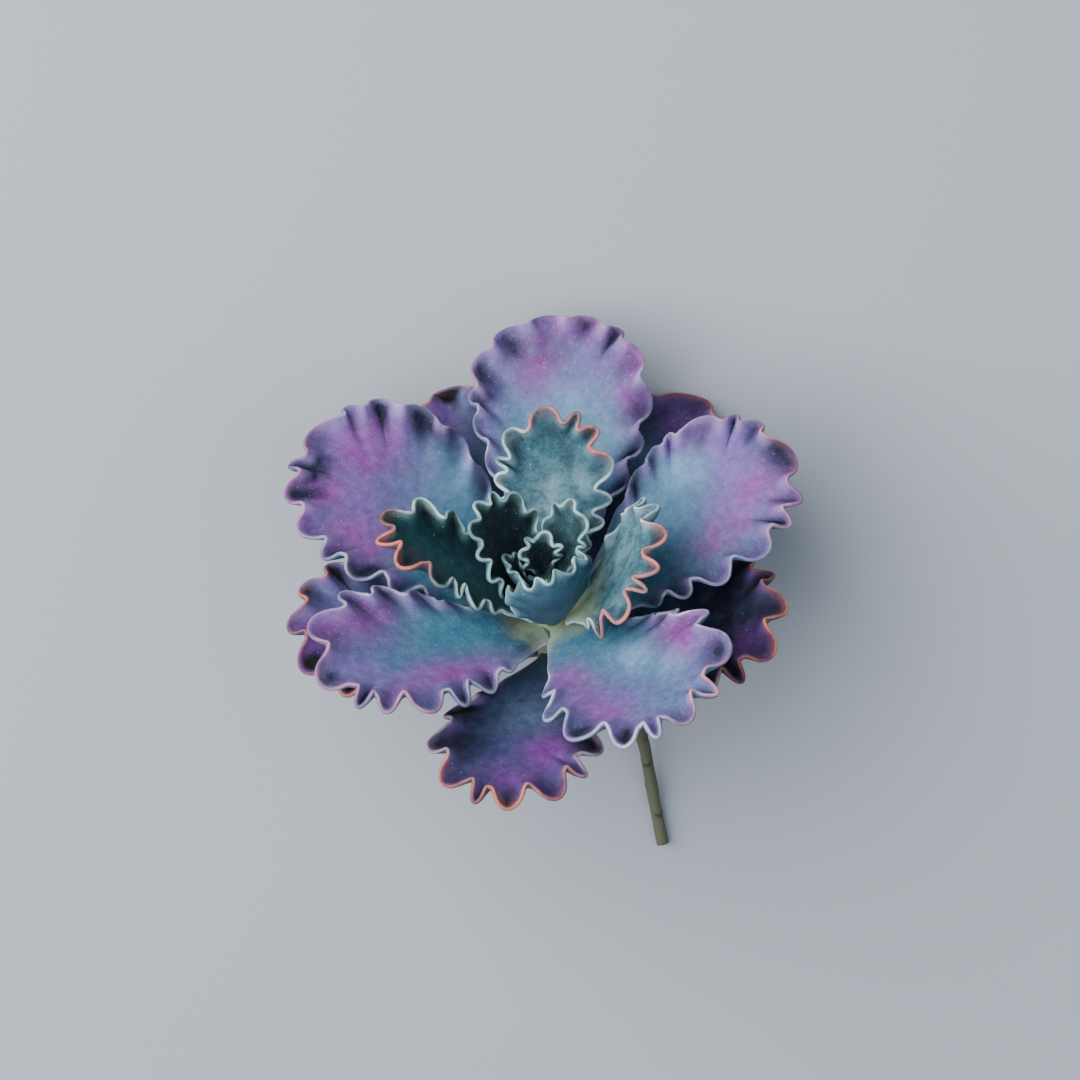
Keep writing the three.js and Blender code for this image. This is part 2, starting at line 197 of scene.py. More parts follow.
def lifted(points: np.ndarray, least: float) -> np.ndarray:
    """Lifts what would sink into the table, softly, so that the frill rests on it.

    Args:
        points: points of a leaf's middle surface in the rosette's frame, in mm.
        least: how high over the table they stay, in mm.

    Returns:
        The points, none of them lower than that.
    """
    cos, sin = math.cos(AXIS_LEAN), math.sin(AXIS_LEAN)
    pocket_shade = least - (points[..., 2] * cos - points[..., 1] * sin + CROWN_AT[2])
    rise = (pocket_shade + np.hypot(pocket_shade, LIE_SOFTNESS)) / 2
    return points + rise[..., None] * np.array([0, -sin, cos])


def numbered(count: int, deep: int, shared: tuple[int, ...]) -> np.ndarray:
    """Numbers the points of a grid that is folded in half, with some columns shared by both halves.

    Args:
        count: how many points the grid has round the margin.
        deep: how many columns it has from the midrib outwards.
        shared: the columns along which the second half has the points of the first.

    Returns:
        The number of the point at each place of the grid.
    """
    number = np.arange(count * deep).reshape(count, deep)
    for column in shared:
        number[count // 2 + 1:, column] = number[:count // 2, column][::-1]
    return number


def cells(number: np.ndarray) -> np.ndarray:
    """Lists the four points of every cell of a numbered grid, round the cell."""
    return np.stack([number[:-1, :-1], number[1:, :-1], number[1:, 1:], number[:-1, 1:]], -1).reshape(-1, 4)


def sheet_normals(points: np.ndarray, number: np.ndarray) -> np.ndarray:
    """Works out which way a sheet faces at each of its points.

    Args:
        points: the sheet's points, one for each place of its grid.
        number: the number of the point at each place.

    Returns:
        The unit normals, one for each place.
    """
    listed = points.reshape(-1, 3)
    quads = cells(number)
    a, b, c, d = (listed[quads[:, k]] for k in range(4))
    facing = np.cross(d - b, c - a)
    normals = np.zeros_like(listed)
    for k in range(4):
        np.add.at(normals, quads[:, k], facing)
    normals /= np.maximum(np.linalg.norm(normals, axis=1, keepdims=True), 1e-12)
    return normals[number]


def put(name: str, data: bpy.types.ID) -> bpy.types.Object:
    """Puts an object into the scene.

    Args:
        name: what the object is called.
        data: its mesh, light or camera.

    Returns:
        The object.
    """
    made = bpy.data.objects.new(name, data)
    bpy.context.scene.collection.objects.link(made)
    return made


def grown(name: str, points: np.ndarray, faces: list[list[int]],
          stored: dict[str, np.ndarray]) -> bpy.types.Object:
    """Makes one smooth piece of the plant, with the values that its skin reads.

    Args:
        name: what the piece is called.
        points: its points in the rosette's frame, in mm.
        faces: the numbers of each face's points.
        stored: for the name of each value, one number or three for every point.

    Returns:
        The piece, laid down.
    """
    mesh = bpy.data.meshes.new(name)
    mesh.from_pydata(laid_down(points).tolist(), [], faces)
    for key, values in stored.items():
        kind, part = ("FLOAT_VECTOR", "vector") if values.ndim == 2 else ("FLOAT", "value")
        layer = mesh.attributes.new(key, kind, "POINT")
        layer.data.foreach_set(part, values.astype(np.float32).ravel())
    mesh.shade_smooth()
    return put(name, mesh)


def empty_material(name: str) -> bpy.types.Material:
    """Starts a material that has no nodes yet.

    Args:
        name: the common name of the stuff and how its surface was made or grown.

    Returns:
        The material.
    """
    made = bpy.data.materials.new(name)
    made.use_nodes = True
    made.node_tree.nodes.clear()
    return made


def add(tree: Tree, kind: str, settings: dict | None = None, links: dict | None = None) -> bpy.types.Node:
    """Adds one node to a material.

    Args:
        tree: the material's node tree.
        kind: the node's type name.
        settings: values of the node's own properties.
        links: for an input's name or number, the socket that feeds it or its value.

    Returns:
        The new node.
    """
    made = tree.nodes.new(kind)
    for key, value in (settings or {}).items():
        setattr(made, key, value)
    for key, value in (links or {}).items():
        if isinstance(value, Socket):
            tree.links.new(value, made.inputs[key])
        else:
            made.inputs[key].default_value = value
    return made


def stain_or_painted_light_over(tree: Tree, colour: Socket, mask: Socket, clouds: Socket, pigment: str) -> Socket:
    """Lays one colour over the blade, thicker and thinner in clouds: the pigments, and also the painted
    glow on the crests and the painted shade in the pockets.

    Args:
        tree: the material's node tree.
        colour: the blade's colour so far.
        mask: how strong the colour is.
        clouds: the pattern that makes it uneven.
        pigment: the colour that is laid on.

    Returns:
        The stained colour.
    """
    uneven = add(tree, RAMP, {}, {0: clouds, START: 0.3, END: 0.7, LOW: 0.45, HIGH: 1.25}).outputs[0]
    share = add(tree, MATH, {**TIMES, "use_clamp": True}, {0: mask, 1: uneven}).outputs[0]
    return add(tree, MIX, COLOURS, {SHARE: share, UNDER: colour, OVER: linear(pigment)}).outputs[MIXED]


@dataclass(frozen=True)
class Drift:
    """A value that strays from its mean from lobe to lobe, in its own way on each leaf."""

    mean: float
    stray: float
    rate: float
    apart: float

    def at(self, phase: np.ndarray, seed: int) -> np.ndarray:
        """Gives the value where the frill's wave has turned so far, on the leaf of that seed."""
        return self.mean + self.stray * np.sin(self.rate * phase + self.apart * seed)


# Some pockets are deep, with dark painted shade, and others shallow, the rim's painted highlight is
# bright only in places, and some pleats reach further inwards than others.
POCKET_DARKNESS = Drift(0.65, stray=0.4, rate=0.27, apart=2.7)
RIM_BRIGHTNESS = Drift(0.75, stray=0.3, rate=0.37, apart=1.9)
PLEAT_REACH = Drift(0, stray=0.12, rate=0.61, apart=3.1)
CREST_HIGHLIGHT = 0.2  # how much brighter than its mean the rim is on the crests, a painted highlight where they turn up to the light


class Pigment(Enum):
    """What colours a stain of the blade, by the name of its mask."""

    MAGENTA = "magenta"
    LILAC = "lilac"
    # Partly the flesh's own dark purple and partly painted shade in pockets and in gaps between leaves.
    DEEP = "deep"
    # Partly the paler bloom and partly painted light on places that lie in shadow.
    PALE = "pale"


@dataclass(frozen=True)
class Stain:
    """A soft patch of one pigment.

    Its place is across the leaf, from -1 to 1 of the half width and anticlockwise round the rosette,
    and along it, from 0 to 1. Its two sizes are in mm.
    """

    pigment: Pigment
    across: float
    along: float
    wide: float
    long: float
    strength: float = 1.0


@dataclass(frozen=True)
class Pattern:
    """Uneven clouds in the skin, of a size in mm, and stretched along the leaf by a factor."""

    size: float
    detail: float
    roughness: float
    distortion: float = 0.0
    stretch: float = 1.0


# The patches of colour, smaller clouds, the powder's mottle, streaks that run up the leaf, and the
# grains of wax. The real grains are finer than 0.2 mm, and these are as coarse as they need to show.
PATTERNS = {
    "patches": Pattern(6, detail=3, roughness=0.55, distortion=0.4),
    "clouds": Pattern(2.5, detail=5, roughness=0.6),
    "mottle": Pattern(1.2, detail=7, roughness=0.68),
    "streaks": Pattern(0.5, detail=5, roughness=0.7, stretch=4),
    "grain": Pattern(0.2, detail=2, roughness=0.7),
}

# What the mesh of a leaf stores for its skin, besides its stains: how far up the leaf a point is, how
# much it faces up, its distance from the rim in mm, the frill's pockets, which get painted shade, and
# its ridges, which get a painted glow, and how bright and how red the rim is, its brightness partly a
# painted highlight.
MASKS = ("along", "face", "edge", "pocket", "ridge", "bright", "warmth")

# The wax powder and the dust are the same on every leaf.
POWDER = "#a9c0d8"
DUST = "#cfdce6"
DUST_CELL_MM = 0.8


@dataclass(frozen=True)
class LeafSkin:
    """The bloomed skin of living echeveria leaves, a powdery wax over thin coloured flesh.

    The wax is what makes the leaf matte and pale, and it is thinner where something has rubbed it, so
    the dark flesh shows there. The pockets of the frill are darkened with painted shade, partly the
    darker flesh there, and the wax is thin in them too.
    """

    name: str
    foot: str
    blade: str
    shade: str
    blush: str
    magenta: str
    lilac: str
    # The deep colour is partly painted shade, and the pale one partly painted light.
    deep: str
    pale: str
    # The glow is painted light on the crests, and the pocket colour is painted shade in the frill's hollows.
    glow: str
    pocket: str
    # The cool rim colour is partly the margin's own and partly a painted highlight.
    rim_cool: str
    rim_warm: str
    under: str
    foot_reach: float = 0.14
    blush_share: float = 0.8
    bloom: float = 0.2
    mottle: float = 0.3
    pocket_share: float = 1.25
    rim_width: float = 0.24
    rim_band: float = 0.25

    def read(self, tree: Tree) -> dict[str, Socket]:
        """Reads what the leaf's mesh stores and lays the patterns out on the flat leaf.

        Args:
            tree: the material's node tree.

        Returns:
            The masks and the patterns, by name, and the place on the flat leaf as "flat".
        """
        names = [*MASKS, *(pigment.value for pigment in Pigment)]
        got = {name: add(tree, ATTRIBUTE, {"attribute_name": f"leaf_{name}"}).outputs["Fac"]
               for name in names}
        flat = add(tree, ATTRIBUTE, {"attribute_name": "leaf_flat"}).outputs["Vector"]
        for name, one in PATTERNS.items():
            at = add(tree, "ShaderNodeVectorMath", TIMES, {0: flat, 1: (1, 1 / one.stretch, 1)}).outputs[0]
            got[name] = add(tree, NOISE, {}, {
                "Vector": at, "Scale": 1 / one.size, "Detail": one.detail, "Roughness": one.roughness,
                "Distortion": one.distortion}).outputs[0]
        return {**got, "flat": flat}

    def flesh(self, tree: Tree, got: dict[str, Socket]) -> Socket:
        """Colours the flesh from its pale foot to the blade, with its blush, stains and rubbed parts. The
        pale stains are partly painted light, and the deep ones partly painted shade.

        Args:
            tree: the material's node tree.
            got: the masks and patterns.

        Returns:
            The colour of the leaf's upper face, before its frill is shaded.
        """
        wander = add(tree, MATH, TIMES_PLUS, {0: got["patches"], 1: 0.3, 2: -0.15}).outputs[0]
        reach = add(tree, MATH, PLUS, {0: got["along"], 1: wander}).outputs[0]
        up_blade = add(tree, RAMP, SMOOTH, {0: reach, START: 0.02, END: self.foot_reach}).outputs[0]
        colour = add(tree, MIX, COLOURS, {
            SHARE: up_blade, UNDER: linear(self.foot), OVER: linear(self.blade)}).outputs[MIXED]

        # The blush lies within 5 mm of the margin, and not on the foot.
        near_edge = add(tree, RAMP, SMOOTH, {0: got["edge"], START: 5.0, END: 0.5}).outputs[0]
        past_foot = add(tree, RAMP, SMOOTH, {0: reach, START: 0.2, END: 0.45}).outputs[0]
        blushed = add(tree, MATH, TIMES, {0: near_edge, 1: past_foot}).outputs[0]
        blushed = add(tree, MATH, TIMES, {0: blushed, 1: self.blush_share}).outputs[0]
        colour = stain_or_painted_light_over(tree, colour, blushed, got["patches"], self.blush)
        # The pale stains are partly painted light on places that lie in shadow.
        colour = stain_or_painted_light_over(tree, colour, got["pale"], got["clouds"], self.pale)
        colour = stain_or_painted_light_over(tree, colour, got["lilac"], got["patches"], self.lilac)
        colour = stain_or_painted_light_over(tree, colour, got["magenta"], got["clouds"], self.magenta)

        # Where the mottle is thin, the blade is rubbed.
        rubbed = add(tree, RAMP, SMOOTH, {
            0: got["mottle"], START: 0.56, END: 0.36, HIGH: self.mottle}).outputs[0]
        rubbed = add(tree, MATH, TIMES, {0: rubbed, 1: up_blade}).outputs[0]
        colour = add(tree, MIX, {**COLOURS, "blend_type": "MULTIPLY"}, {
            SHARE: rubbed, UNDER: colour, OVER: linear(self.shade)}).outputs[MIXED]
        # The deep stains are partly painted shade in pockets and in gaps between leaves.
        return stain_or_painted_light_over(tree, colour, got["deep"], got["clouds"], self.deep)

    def frill(self, tree: Tree, got: dict[str, Socket], colour: Socket) -> Socket:
        """Paints light and shade on the frill: a painted glow on its thin crests, as if light came through
        them, and painted shade in the pockets between them.

        Args:
            tree: the material's node tree.
            got: the masks and patterns.
            colour: the colour so far.

        Returns:
            The colour of the leaf's upper face.
        """
        # A painted glow on the crests near the rim, as if light came through them.
        beside_rim = add(tree, RAMP, SMOOTH, {0: got["edge"], START: 2.6, END: 0.3}).outputs[0]
        glowing = add(tree, MATH, TIMES, {0: got["ridge"], 1: beside_rim}).outputs[0]
        glowing = add(tree, MATH, TIMES, {0: glowing, 1: 0.7}).outputs[0]
        colour = stain_or_painted_light_over(tree, colour, glowing, got["patches"], self.glow)
        # Painted shade in the pockets, partly the darker flesh there.
        pocket_shade = add(tree, MATH, TIMES, {0: got["pocket"], 1: self.pocket_share}).outputs[0]
        return stain_or_painted_light_over(tree, colour, pocket_shade, got["patches"], self.pocket)

    def back(self, tree: Tree, got: dict[str, Socket], colour: Socket) -> Socket:
        """Makes the back of the leaf plainer and greyer.

        Args:
            tree: the material's node tree.
            got: the masks and patterns.
            colour: the colour of the upper face.

        Returns:
            The colour of both faces.
        """
        turned = add(tree, RAMP, SMOOTH, {0: got["face"], START: 0.2, END: -0.4}).outputs[0]
        plain = add(tree, MIX, COLOURS, {
            SHARE: got["patches"], UNDER: linear(self.under), OVER: linear(self.blade)}).outputs[MIXED]
        return add(tree, MIX, COLOURS, {SHARE: turned, UNDER: colour, OVER: plain}).outputs[MIXED]

    def powder(self, tree: Tree, got: dict[str, Socket], colour: Socket) -> Socket:
        """Lays the wax powder on, thick in some clouds and streaks, and thin on the deep stains and in the
        painted shade of the pockets.

        Args:
            tree: the material's node tree.
            got: the masks and patterns.
            colour: the colour so far.

        Returns:
            The powdered colour.
        """
        thick = add(tree, RAMP, SMOOTH, {0: got["mottle"], START: 0.48, END: 0.74}).outputs[0]
        streaked = add(tree, RAMP, SMOOTH, {0: got["streaks"], START: 0.5, END: 0.9}).outputs[0]
        grains = add(tree, RAMP, SMOOTH, {
            0: got["grain"], START: 0.42, END: 0.68, LOW: 0.3, HIGH: 2.4}).outputs[0]
        bloom = add(tree, MATH, PLUS, {0: thick, 1: streaked}).outputs[0]
        bloom = add(tree, MATH, TIMES_PLUS, {0: bloom, 1: 0.7, 2: 0.25}).outputs[0]
        # The powder is thinner on the deep stains and in the painted shade of the pockets.
        stained_or_shaded = add(tree, MATH, LARGER, {0: got["deep"], 1: got["pocket"]}).outputs[0]
        left = add(tree, RAMP, {}, {0: stained_or_shaded, START: 0.0, END: 1.0, LOW: 1.0, HIGH: 0.3}).outputs[0]
        for factor in (grains, self.bloom, left):
            bloom = add(tree, MATH, TIMES, {0: bloom, 1: factor}).outputs[0]
        return add(tree, MIX, COLOURS, {SHARE: bloom, UNDER: colour, OVER: linear(POWDER)}).outputs[MIXED]

    def rim(self, tree: Tree, got: dict[str, Socket], colour: Socket) -> Socket:
        """Draws the bright rim, partly its own pale colour and partly a painted highlight on its upper
        shoulder and crests, cool in some stretches and reddened by the sun in others.

        Args:
            tree: the material's node tree.
            got: the masks and patterns.
            colour: the colour so far.

        Returns:
            The colour with the rim's line and the faint band inside it.
        """
        tint = add(tree, MIX, COLOURS, {
            SHARE: got["warmth"], UNDER: linear(self.rim_cool), OVER: linear(self.rim_warm)}).outputs[MIXED]
        line = add(tree, RAMP, SMOOTH, {0: got["edge"], START: self.rim_width, END: 0.0}).outputs[0]
        band = add(tree, RAMP, SMOOTH, {
            0: got["edge"], START: 5 * self.rim_width, END: 0.0, HIGH: self.rim_band}).outputs[0]
        share = add(tree, MATH, LARGER, {0: line, 1: band}).outputs[0]
        uneven = add(tree, RAMP, SMOOTH, {
            0: got["clouds"], START: 0.36, END: 0.62, LOW: 0.3, HIGH: 1.0}).outputs[0]
        for factor in (uneven, got["bright"]):
            share = add(tree, MATH, TIMES, {0: share, 1: factor}).outputs[0]
        return add(tree, MIX, COLOURS, {SHARE: share, UNDER: colour, OVER: tint}).outputs[MIXED]

    def dust(self, tree: Tree, got: dict[str, Socket], colour: Socket) -> Socket:
        """Scatters specks of dust about 0.12 mm wide, one on some of the cells of a lattice.

        Args:
            tree: the material's node tree.
            got: the masks and patterns.
            colour: the colour so far.

        Returns:
            The dusty colour.
        """
        lattice = add(tree, "ShaderNodeTexVoronoi", {}, {"Vector": got["flat"], "Scale": 1 / DUST_CELL_MM})
        speck = add(tree, RAMP, SMOOTH, {0: lattice.outputs["Distance"], START: 0.09, END: 0.05}).outputs[0]
        picked = add(tree, "ShaderNodeSeparateColor", {}, {0: lattice.outputs["Color"]}).outputs[0]
        picked = add(tree, MATH, {"operation": "GREATER_THAN"}, {0: picked, 1: 0.65}).outputs[0]
        for factor in (picked, 0.6):
            speck = add(tree, MATH, TIMES, {0: speck, 1: factor}).outputs[0]
        return add(tree, MIX, COLOURS, {SHARE: speck, UNDER: colour, OVER: linear(DUST)}).outputs[MIXED]

    def material(self) -> bpy.types.Material:
        """Builds the skin as a node material.

        Returns:
            The finished material.
        """
        made = empty_material(self.name)
        tree = made.node_tree
        got = self.read(tree)
        colour = self.flesh(tree, got)
        for layer in (self.frill, self.back, self.powder, self.rim, self.dust):
            colour = layer(tree, got, colour)

        # Plant wax has an IOR of about 1.43. Its powder scatters the light, so that the skin is matte with
        # a weak shine, and the thin flesh lets some light through.
        rough = add(tree, RAMP, {}, {
            0: got["mottle"], START: 0.3, END: 0.7, LOW: 0.5, HIGH: 0.72}).outputs[0]
        height = add(tree, MATH, TIMES_PLUS, {0: got["grain"], 1: 0.3, 2: got["mottle"]}).outputs[0]
        bump = add(tree, "ShaderNodeBump", {}, {"Strength": 0.5, "Distance": 0.1 * MM, "Height": height})
        shader = add(tree, "ShaderNodeBsdfPrincipled", {"subsurface_method": "RANDOM_WALK"}, {
            "Base Color": colour, "Roughness": rough, "Normal": bump.outputs[0], "IOR": 1.43,
            "Specular IOR Level": 0.22, "Sheen Weight": 0.03, "Sheen Roughness": 0.5,
            "Subsurface Weight": 0.06, "Subsurface Radius": (0.9, 1.0, 0.8), "Subsurface Scale": 0.4 * MM,
        })
        add(tree, "ShaderNodeOutputMaterial", {}, {"Surface": shader.outputs[0]})
        return made


class Skin(Enum):
    """The skins that the leaves take with their age and place."""

    LILAC = LeafSkin(
        "bloomed leaf lilac", foot="#8fa27e", blade="#37778d", shade="#8797ac", blush="#6a3a8c",
        magenta="#96409f", lilac="#7a5ca8", deep="#14162c", pale="#80b0ce", glow="#a590c8",
        pocket="#14162e", rim_cool="#d6cde6", rim_warm="#e596a8", under="#3f4f68", blush_share=0.78,
        bloom=0.18, pocket_share=1.1)
    PLUM = LeafSkin(
        "bloomed leaf plum", foot="#1f4244", blade="#30415f", shade="#807a94", blush="#4b2a68",
        magenta="#74348a", lilac="#59508a", deep="#0d0b1c", pale="#66809e", glow="#77639c",
        pocket="#07050f", rim_cool="#c6aab4", rim_warm="#e2855e", under="#232539", bloom=0.06, mottle=0.4)
    TEAL = LeafSkin(
        "bloomed leaf teal", foot="#a2b486", blade="#2a5f67", shade="#62787c", blush="#3b6a7c",
        magenta="#6f4a72", lilac="#5d7f9c", deep="#123640", pale="#8ab2c0", glow="#83aab4",
        pocket="#0a2026", rim_cool="#cfe6e6", rim_warm="#e5887a", under="#3d6472", foot_reach=0.5,
        blush_share=0.4, bloom=0.17, mottle=0.6, pocket_share=0.9, rim_width=0.28)
    # The deep green and heart skins are dark partly as painted shade, for inner faces that turn away from
    # the light.
    DEEP = LeafSkin(
        "bloomed leaf deep green", foot="#5c755a", blade="#053f43", shade="#6a8c8e", blush="#08333a",
        magenta="#5a2c44", lilac="#234a58", deep="#031417", pale="#3d6166", glow="#3a6f68",
        pocket="#020b0b", rim_cool="#c6eae4", rim_warm="#f08474", under="#34545f", blush_share=0.4,
        bloom=0.05, mottle=0.5, pocket_share=0.85, rim_width=0.28)
    HEART = LeafSkin(
        "bloomed leaf heart", foot="#3c5f50", blade="#052528", shade="#6a8484", blush="#082c30",
        magenta="#2a2c44", lilac="#1f4652", deep="#020d10", pale="#33565c", glow="#437c7a",
        pocket="#020a0b", rim_cool="#b4e4e0", rim_warm="#a5c0b6", under="#4d8093", blush_share=0.4,
        bloom=0.1, mottle=0.5, pocket_share=0.85, rim_width=0.26)


@dataclass(frozen=True)
class Leaf:
    """One frilled leaf: its place on the crown, its outline, its frill and its bends, in mm and degrees."""

    name: str
    skin: Skin
    slot: str
    azimuth: float
    height: float
    length: float
    width: float
    pitch: float
    tip_pitch: float
    seed: int
    foot: float
    spread: float
    flesh: float
    radius: float
    frill: float
    lobes: int
    cup: float
    roll: float = 0
    swell: float = 0
    swells: float = 2
    shift: float = 0
    widest: float = 0.66
    pinch: float = 0.42
    scallop: float = 0.6
    crests: tuple[float, ...] = ()
    stains: tuple[Stain, ...] = ()
    reddened: tuple[tuple[float, float], ...] = ()
    rim_strength: float = 0.8
    columns: int = 440
    rows: int = 18

    def outline(self) -> tuple[np.ndarray, np.ndarray]:
        """Draws the right half of the flat outline from the foot to the tip, as two curves that meet.

        Returns:
            Points of the outline, and how far along it each one is, from 0 to 1.
        """
        # The curves' handles, such as 0.62 of the way up to the widest place, are those of the part.
        half, up, length = self.width / 2, self.widest * self.length, self.length
        foot = self.foot / 2
        lower = [(foot, 0), (foot + self.spread * half, 0.2 * up), (half, 0.62 * up), (half, up)]
        upper = [(half, up), (half, up + 0.56 * (length - up)), (BLUNTNESS * half, length), (0, length)]
        t = np.linspace(0, 1, CURVE_POINTS)
        weights = np.stack([(1 - t) ** 3, 3 * (1 - t) ** 2 * t, 3 * (1 - t) * t ** 2, t ** 3], -1)
        points = np.vstack([weights @ np.array(lower), (weights @ np.array(upper))[1:]])
        walked = np.concatenate([[0], np.cumsum(np.hypot(*np.diff(points, axis=0).T))])
        return points, walked / walked[-1]

    def frill_wave(self, s: np.ndarray) -> tuple[np.ndarray, np.ndarray, np.ndarray]:
        """Follows the frill round the margin, crest by crest.

        Args:
            s: places round the margin, 0 to 1, with the tip at 0.5.

        Returns:
            How far the wave has turned at each place, how long the lobe there is, and the frill's height.
        """
        count = np.arange(1, self.lobes)
        own = self.crests or (count + LOBE_WANDER * np.sin(WANDER_STEP * count + self.seed)) / self.lobes
        crests = np.array([0, *own, 1])
        gaps = np.diff(crests)
        beside = np.array([USUAL_GAP, *gaps, USUAL_GAP])
        heights = self.frill * ((beside[:-1] + beside[1:]) / 2 / USUAL_GAP) ** GAP_POWER
        k = np.clip(np.searchsorted(crests, s) - 1, 0, len(gaps) - 1)
        t = (s - crests[k]) / gaps[k]
        return TURN * (k + t), gaps[k], heights[k] + (heights[k + 1] - heights[k]) * soft_step(t, 0, 1)

    def margin(self, place: np.ndarray) -> tuple[np.ndarray, np.ndarray, np.ndarray]:
        """Finds points of the flat margin.

        Args:
            place: places round the margin, 0 to 1.

        Returns:
            The points, on the right half, the margin's direction there, and shares of the half outline.
        """
        points, walked = self.outline()
        share = 1 - np.abs(2 * place - 1)
        at, before, after = (
            np.stack([np.interp(np.clip(share + step, 0, 1), walked, points[:, k]) for k in (0, 1)], -1)
            for step in (0, -DIRECTION_STEP, DIRECTION_STEP))
        along = after - before
        return at, along / np.linalg.norm(along, axis=-1, keepdims=True), share

    def blade(self, s: np.ndarray, r: np.ndarray) -> dict[str, np.ndarray]:
        """Works out the leaf's middle surface before it is bent.

        Args:
            s: places round the margin.
            r: shares of the way from the midrib to the margin.

        Returns:
            Both, flat x and y, the height of the frill, and the masks that the skin reads.
        """
        phase, gap, height = self.frill_wave(s)
        grip = soft_step(1 - np.abs(2 * s - 1), *FRILL_START) * r ** FRILL_DEPTH
        crowding = grip * (-self.pinch * np.sin(phase) + SQUARENESS * np.sin(2 * phase)) * gap / TURN
        place = np.clip(s + crowding, 0, 1)
        side = np.where(place < 0.5, -1.0, 1.0)
        margin, along, share = self.margin(place)
        root = MIDRIB_REACH * self.length * share
        crest = grip * height * ((1 + ROUNDNESS) * np.cos(phase) - ROUNDNESS * np.cos(2 * phase))
        flat_x = side * (r * margin[..., 0] - self.scallop * crest * along[..., 1])
        y = root + r * (margin[..., 1] - root) + self.scallop * crest * along[..., 0]
        x = flat_x + self.shift * (1 - np.clip(y / (SHIFT_REACH * self.length), 0, 1)) ** 2
        gripped = soft_step(share, *FRILL_START)
        swell = self.swell * r * r * gripped * np.sin(TURN * (self.swells * s + SWELL_TURN * self.seed))

        # The lobes' margins curl back up a little, small crinkles cross the crests, and the blade is not
        # quite even.
        lobe = 0.5 - 0.5 * np.cos(phase)
        curl = CURL * self.frill * gripped * lobe * soft_step(r, *CURL_ROWS)
        crinkled = np.sin(CRINKLES * phase + self.seed) * (1.4 - lobe)
        crinkle = CRINKLE * self.frill * gripped * r ** CRINKLE_FADE * crinkled
        across, up = UNEVEN_TURNS
        uneven = UNEVEN_MM * gripped * np.sin(across * x + self.seed) * np.sin(up * y + 1.7 * self.seed)

        # A narrow pleat runs inwards from the bottom of each pocket.
        deep = POCKET_DARKNESS.at(phase, self.seed)
        from_bottom = np.abs(phase % TURN - math.pi)
        reached = soft_step(r + PLEAT_REACH.at(phase, self.seed), *PLEAT_ROWS)
        pleat = deep ** 2 * gripped * np.exp(-(from_bottom / PLEAT_WIDTH) ** 2) * reached
        pleat_depth = PLEAT_DEPTH * self.frill * pleat * (1 - 0.6 * soft_step(r, *PLEAT_END_ROWS))

        reach = np.hypot(margin[..., 0], margin[..., 1] - root)
        # The rim's brightness, partly a painted highlight, is strongest on the crests.
        bright = RIM_BRIGHTNESS.at(phase, self.seed) + CREST_HIGHLIGHT * np.cos(phase)
        # The pockets get painted shade and the ridges a painted glow.
        inside = gripped * soft_step(r, *FRILL_ROWS)
        pocket = deep * inside * np.clip(-np.cos(phase), 0, 1) ** POCKET_EDGE + PLEAT_SHADE * pleat
        return {
            "s": s, "r": r, "x": x, "y": y, "z": crest + swell + curl + crinkle + uneven - pleat_depth,
            "edge": (1 - r) * reach,
            "pocket": pocket * (1 - soft_step(r, *RIM_ROWS)),
            "ridge": inside * np.clip(np.cos(phase), 0, 1),
            "bright": bright * self.rim_strength,
        }

    def stained(self, x: np.ndarray, y: np.ndarray) -> dict[str, np.ndarray]:
        """Says how strongly each pigment stains the blade.

        Args:
            x: flat distance across.
            y: flat distance from the foot.

        Returns:
            A mask for each pigment, by its name.
        """
        masks = {pigment.value: np.zeros_like(x) for pigment in Pigment}
        for stain in self.stains:
            gap = np.hypot((x - stain.across * self.width / 2) / stain.wide,
                           (y - stain.along * self.length) / stain.long)
            mask = masks[stain.pigment.value]
            np.maximum(mask, stain.strength * np.exp(-gap ** 2), out=mask)
        return masks

    def redness(self, s: np.ndarray) -> np.ndarray:
        """Says how red the rim is round the margin.

        Args:
            s: places round the margin.

        Returns:
            The redness, from 0 to 1.
        """
        red, half = np.zeros_like(s), RED_BLEND / 2
        for start, end in self.reddened:
            red += soft_step(s, start - half, start + half) * (1 - soft_step(s, end - half, end + half))
        return red

    def bent(self, x: np.ndarray, y: np.ndarray, z: np.ndarray) -> np.ndarray:
        """Curves the flat, frilled blade across and along, and stands it on the crown.

        Args:
            x: flat distance across.
            y: flat distance from the foot.
            z: height over the flat blade.

        Returns:
            Points in the rosette's frame.
        """
        curl = math.radians(self.cup) / (self.width / 2)
        across = np.sin(curl * x) * (1 / curl - z)
        lift = 1 / curl - np.cos(curl * x) * (1 / curl - z)
        roll = math.radians(self.roll)
        sideways = across * math.cos(roll) - lift * math.sin(roll)
        above = across * math.sin(roll) + lift * math.cos(roll)

        # The spine is walked in small steps, from inside the crown to past the tip.
        walk = SPINE * self.length
        turned = np.clip(SPINE, 0, None) ** PITCH_POWER
        slope = np.radians(self.pitch + (self.tip_pitch - self.pitch) * turned)
        step = walk[1] - walk[0]
        reached = []
        for share in (np.cos(slope), np.sin(slope)):
            run = np.concatenate([[0], np.cumsum((share[1:] + share[:-1]) / 2 * step)])
            reached.append(np.interp(y, walk, run) - np.interp(0, walk, run))
        here = np.interp(y, walk, slope)
        outward = self.radius + reached[0] - above * np.sin(here)
        upward = self.height + reached[1] + above * np.cos(here)
        turn = math.radians(self.azimuth)
        return np.stack([outward * math.cos(turn) - sideways * math.sin(turn),
                         outward * math.sin(turn) + sideways * math.cos(turn), upward], -1)

